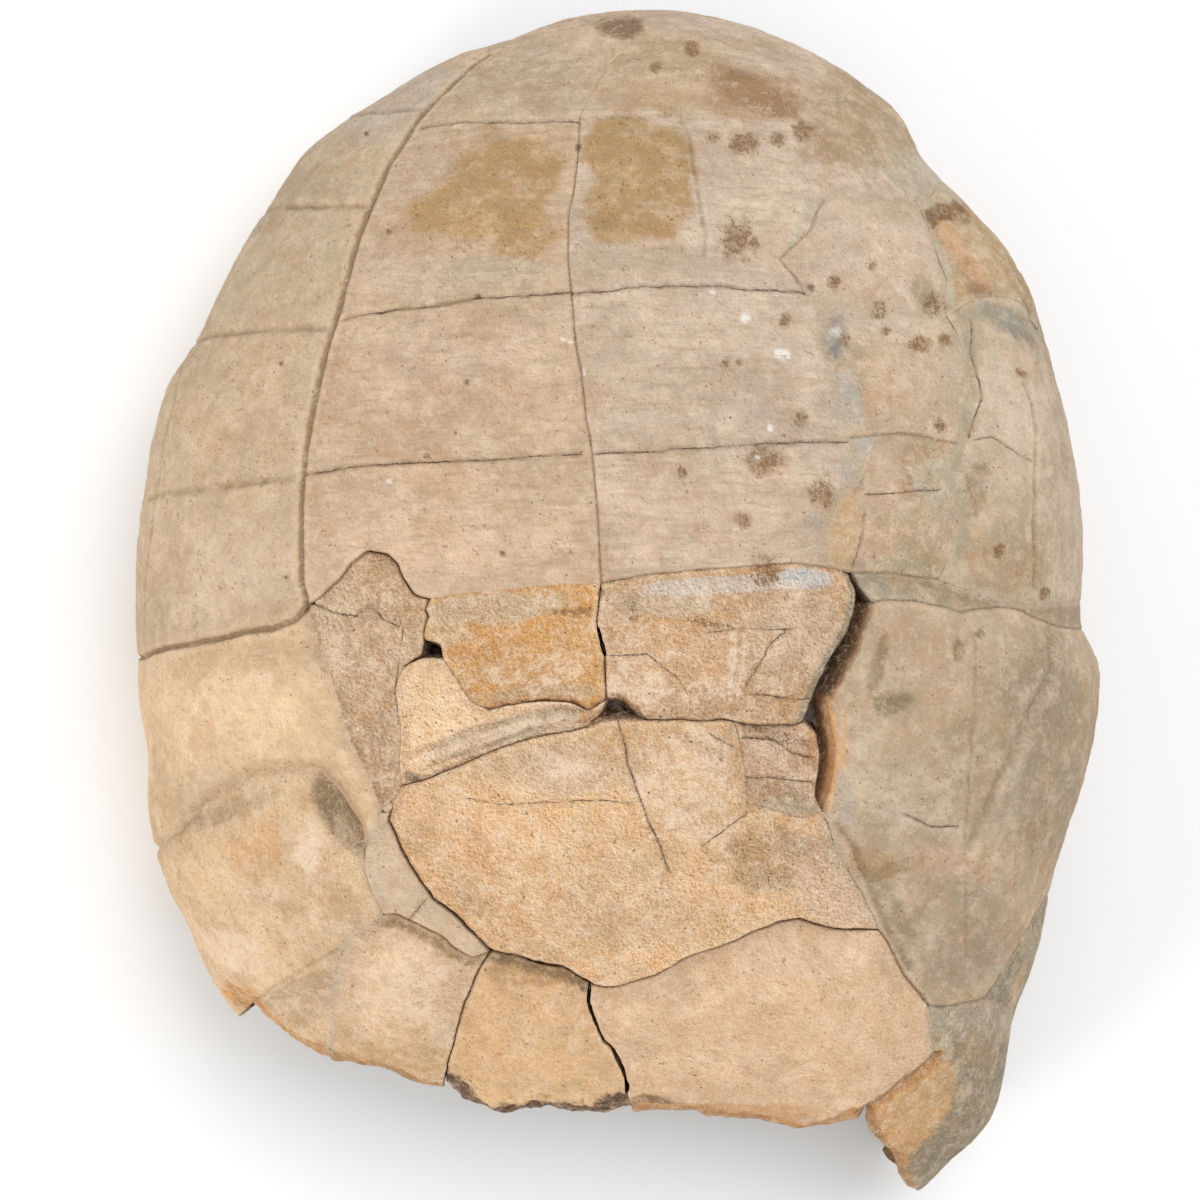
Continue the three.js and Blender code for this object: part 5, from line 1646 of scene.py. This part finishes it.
@dataclass(frozen=True)
class Finish:
    """A dry surface: how strong its bump, flecks, crust, painted grain shading, rasp streaks, pores and
    pale threads are.
    """

    name: str
    bump: float = 0.6
    chalk: float = 0.35
    ochre: float = 0.25
    grime_and_crack_shade: float = 0.15
    painted_grain_shade: float = 0.16
    streak: float = 0.0
    pore: float = 0.6
    curl: float = 0.0
    rough: tuple[float, float] = (0.78, 0.94)

    def material(self) -> bpy.types.Material:
        """Build the material, or find it where an earlier piece has made it.

        Returns:
            The material, which reads the point colours and Object coordinates only.
        """
        if self.name in bpy.data.materials:
            return bpy.data.materials[self.name]
        material = bpy.data.materials.new(self.name)
        material.use_nodes = True
        mixer = Mixer(material)
        patch = mixer.noise(6.5, 9.0, 0.74)
        grain = mixer.noise(GRAIN_SIZE, 2.0, 0.75)
        colour = self.flecked(mixer, patch, grain)
        dark = mixer.sum("MAXIMUM", self.lines(mixer, patch, grain), self.pores(mixer, patch))
        relief = mixer.noise(2.4, 2.0, 0.8)
        bump = mixer.add("Bump", {"Strength": self.bump, "Distance": BUMP_DEPTH * METRES, "Height": relief})
        shader = mixer.tree.nodes["Principled BSDF"]
        shader.inputs["Specular IOR Level"].default_value = GLOSS
        inputs = {
            "Base Color": mixer.laid(colour, DARK, dark),
            "Normal": bump.outputs["Normal"],
            "Roughness": mixer.ramp(patch, 0.3, 0.7, *self.rough),
        }
        for name, socket in inputs.items():
            mixer.tree.links.new(socket, shader.inputs[name])
        return material

    def flecked(self, mixer: Mixer, patch: bpy.types.NodeSocket,
                grain: bpy.types.NodeSocket) -> bpy.types.NodeSocket:
        """Lay painted grain shading, chalk, ochre, crust and rasp streaks over the painted colour.

        Formula: the grains get painted light and shade, pale on one side and dark on the other, from the
        change of their noise over a short way; each other layer is one flat colour where a noise passes a
        threshold, and the dust painted on the points, kept as the colour's alpha, moves the thresholds of
        chalk and crust.

        Args:
            mixer: the material's tree.
            patch: noise of a few millimetres.
            grain: noise of about a millimetre.

        Returns:
            The colour's socket.
        """
        tint = mixer.add("Attribute", attribute_name="tint")
        dust = mixer.sum("SUBTRACT", tint.outputs["Alpha"], 0.5)
        # Painted light and shade on the grains: pale on one side and dark on the other.
        grain_light_and_shade = mixer.sum("SUBTRACT", mixer.noise(GRAIN_SIZE, 2.0, 0.75, shift=GRAIN_SHADE * METRES), grain)
        speck_and_grain_shade = mixer.sum("MULTIPLY_ADD", grain_light_and_shade, self.painted_grain_shade * 6.0, 0.9)
        scaled = mixer.add("VectorMath", {0: tint.outputs["Color"], "Scale": speck_and_grain_shade}, operation="SCALE")
        colour = scaled.outputs[0]
        cloud = mixer.noise(4.2, 9.0, 0.78)
        colour = mixer.laid(colour, OCHRE, mixer.ramp(cloud, 0.52, 0.60, 0.0, self.ochre))
        rough = mixer.sum("MULTIPLY_ADD", grain, 0.7, -0.35)
        ragged = mixer.sum("ADD", patch, rough)
        white = mixer.ramp(mixer.sum("MULTIPLY_ADD", dust, 0.22, ragged), 0.55, 0.59, 0.0, 1.0)
        amount = mixer.sum("MULTIPLY_ADD", dust, 0.7, self.chalk)
        colour = mixer.laid(colour, CHALK, mixer.sum("MULTIPLY", white, amount))
        if self.curl:
            colour = mixer.laid(colour, CHALK, self.curls(mixer, patch))
        ragged = mixer.sum("ADD", cloud, rough)
        brown = mixer.ramp(mixer.sum("MULTIPLY_ADD", dust, -0.36, ragged), 0.62, 0.72, 0.0, 0.62)
        colour = mixer.laid(colour, CRUST, brown)
        if self.streak:
            rasp = mixer.noise(2.2, 6.0, 0.7, (0.14, 1.0, 0.6))
            colour = mixer.laid(colour, SMUDGE, mixer.ramp(rasp, 0.46, 0.66, 0.0, self.streak))
        # Dark grime flecks where the fine grain peaks.
        return mixer.laid(colour, GRIME, mixer.ramp(grain, 0.58, 0.70, 0.0, self.grime_and_crack_shade))

    def curls(self, mixer: Mixer, patch: bpy.types.NodeSocket) -> bpy.types.NodeSocket:
        """Share of the fine pale threads, which follow a noise's middle height and gather in patches."""
        thread = mixer.sum("ABSOLUTE", mixer.sum("SUBTRACT", mixer.noise(3.4, 3.0, 0.6), 0.5))
        gathered = mixer.ramp(patch, 0.42, 0.54, 0.15, self.curl)
        return mixer.sum("MULTIPLY", mixer.ramp(thread, 0.0, 0.035, 1.0, 0.0), gathered)

    def pores(self, mixer: Mixer, patch: bpy.types.NodeSocket) -> bpy.types.NodeSocket:
        """Darkness of the small open pores, scattered a few millimetres apart and gathered in patches."""
        cells = mixer.add("TexVoronoi", {"Vector": mixer.place, "Scale": 1.0 / (PORE_STEP * METRES)})
        dot = mixer.ramp(cells.outputs["Distance"], 0.05, 0.13, self.pore, 0.0)
        return mixer.sum("MULTIPLY", dot, mixer.ramp(patch, 0.46, 0.56, 0.0, 1.0))

    @staticmethod
    def lines(mixer: Mixer, patch: bpy.types.NodeSocket,
              grain: bpy.types.NodeSocket) -> bpy.types.NodeSocket:
        """Darkness of the fine cracks and of the breaks, from the distances kept on the mesh.

        Formula: the distance is shaken by the grain and turned to dark within a pixel or so, and the
        coarser noise makes the line come and go.

        Args:
            mixer: the material's tree.
            patch: noise of a few millimetres.
            grain: noise of about a millimetre.

        Returns:
            A socket with the share of dark colour.
        """
        crack = mixer.add("Attribute", attribute_name="crack")
        parts = mixer.add("SeparateXYZ", {0: crack.outputs["Vector"]})
        strength = mixer.add("Attribute", attribute_name="line")
        shake = mixer.sum("MULTIPLY_ADD", grain, 3.0, -1.5)
        shaken = mixer.sum("ABSOLUTE", mixer.sum("ADD", parts.outputs["X"], shake))
        near = mixer.ramp(parts.outputs["Y"], 4.0, 5.0, 1.0, 0.0)
        hair = mixer.sum("MULTIPLY", mixer.ramp(shaken, 0.15, 0.95, 0.85, 0.0), near)
        away = mixer.sum("MULTIPLY_ADD", shake, 0.8, parts.outputs["Z"])
        edge = mixer.sum("MULTIPLY", mixer.ramp(away, 0.0, 0.7, 1.0, 0.0), strength.outputs["Fac"])
        broken = mixer.ramp(patch, 0.42, 0.54, 0.1, 1.0)
        return mixer.sum("MULTIPLY", mixer.sum("MAXIMUM", hair, edge), broken)


FINISHES = {
    "side_bone": Finish("weathered_side_bone", 0.5, chalk=0.26, ochre=0.2, grime_and_crack_shade=0.14, painted_grain_shade=0.10, streak=0.12),
    "back_bone": Finish("weathered_back_bone", 0.5, chalk=0.30, ochre=0.14, grime_and_crack_shade=0.18, painted_grain_shade=0.11, streak=0.4),
    "pink_bone": Finish(
        "weathered_pink_bone", 0.6, chalk=0.34, ochre=0.16, grime_and_crack_shade=0.26, painted_grain_shade=0.12, streak=0.15),
    "middle_bone": Finish(
        "weathered_middle_bone", 0.9, chalk=0.40, ochre=0.32, grime_and_crack_shade=0.4, painted_grain_shade=0.3, pore=0.8, curl=0.6),
    "rim_bone": Finish("weathered_rim_bone", 0.7, chalk=0.32, ochre=0.28, grime_and_crack_shade=0.22, painted_grain_shade=0.15, curl=0.3),
    "filler": Finish("dry_filler", 0.6, chalk=0.22, ochre=0.1, grime_and_crack_shade=0.24, painted_grain_shade=0.10),
}


@dataclass
class Carapace:
    """All the plates of the mended shell."""

    plates: tuple[Plate, ...]

    def build(self) -> None:
        """Build every plate in order and report it."""
        for plate in self.plates:
            body = plate.build()
            LOG.info("%s: %d faces", body.name, len(body.data.polygons))

    def dress(self) -> None:
        """Give every plate the finish of its slot."""
        for plate in self.plates:
            plate.dress(FINISHES[plate.slot])


@dataclass
class Studio:
    """The pale floor, the soft light and the camera straight above."""

    floor_size: float = 8.0
    key_power: float = 16.6
    fill_power: float = 8.0
    sky: float = 0.63

    def build(self) -> None:
        """Set up the floor, the lights, the sky and the camera."""
        self.floor()
        self.light("key", self.key_power, 1.1, (0.55, 0.65, 1.7), LAMP_WHITE)
        self.light("fill", self.fill_power, 0.45, (-1.1, -0.95, 0.75), LAMP_WARM)
        world = bpy.data.worlds.new("sky")
        world.use_nodes = True
        background = world.node_tree.nodes["Background"]
        background.inputs["Color"].default_value = (*LAMP_WHITE, 1.0)
        background.inputs["Strength"].default_value = self.sky
        scene = bpy.context.scene
        scene.world = world
        scene.view_settings.view_transform = "Standard"
        scene.view_settings.look = "None"
        scene.view_settings.exposure = 0.0
        scene.view_settings.gamma = 1.0
        self.camera()

    def floor(self) -> None:
        """Lay a pale floor under the shell."""
        half = self.floor_size / 2.0
        mesh = bpy.data.meshes.new("floor")
        mesh.from_pydata([(-half, -half, 0.0), (half, -half, 0.0), (half, half, 0.0), (-half, half, 0.0)], [],
                         [(0, 1, 2, 3)])
        material = bpy.data.materials.new("floor")
        material.use_nodes = True
        shader = material.node_tree.nodes["Principled BSDF"]
        shader.inputs["Base Color"].default_value = FLOOR_WHITE
        shader.inputs["Roughness"].default_value = FLOOR_ROUGH
        mesh.materials.append(material)
        plane = bpy.data.objects.new("floor", mesh)
        bpy.context.scene.collection.objects.link(plane)

    @staticmethod
    def light(name: str, power: float, size: float, place: Triple, colour: Triple) -> None:
        """Hang a soft square light that looks at the shell.

        Args:
            name: its name.
            power: watts.
            size: metres along a side.
            place: where it hangs.
            colour: its colour.
        """
        data = bpy.data.lights.new(name, "AREA")
        data.energy = power
        data.size = size
        data.color = colour
        lamp = bpy.data.objects.new(name, data)
        lamp.location = place
        aim = np.array(AIM) - np.array(place)
        tilt = np.arctan2(np.hypot(aim[0], aim[1]), -aim[2])
        lamp.rotation_mode = "QUATERNION"
        turn = np.arctan2(aim[1], aim[0])
        axis = np.array([np.sin(turn), -np.cos(turn), 0.0])
        lamp.rotation_quaternion = (np.cos(tilt / 2.0), *(axis * np.sin(tilt / 2.0)))
        bpy.context.scene.collection.objects.link(lamp)

    @staticmethod
    def camera() -> None:
        """Put the camera straight above, where the eye of the drawing is."""
        data = bpy.data.cameras.new("above")
        data.sensor_width = SENSOR
        data.lens = SENSOR / 2.0 / (PLAN_SIZE / 2.0 * PIXEL / EYE_HEIGHT)
        camera = bpy.data.objects.new("above", data)
        camera.location = (-FOOT[0] * METRES, -FOOT[1] * METRES, EYE_HEIGHT * METRES)
        bpy.context.scene.collection.objects.link(camera)
        bpy.context.scene.camera = camera


def main() -> None:
    """Build the shell, dress it and set the stage."""
    logging.basicConfig(level=logging.INFO, format="%(message)s")
    shell = Carapace(PLATES)
    shell.build()
    shell.dress()
    Studio().build()


if __name__ == "__main__":
    main()
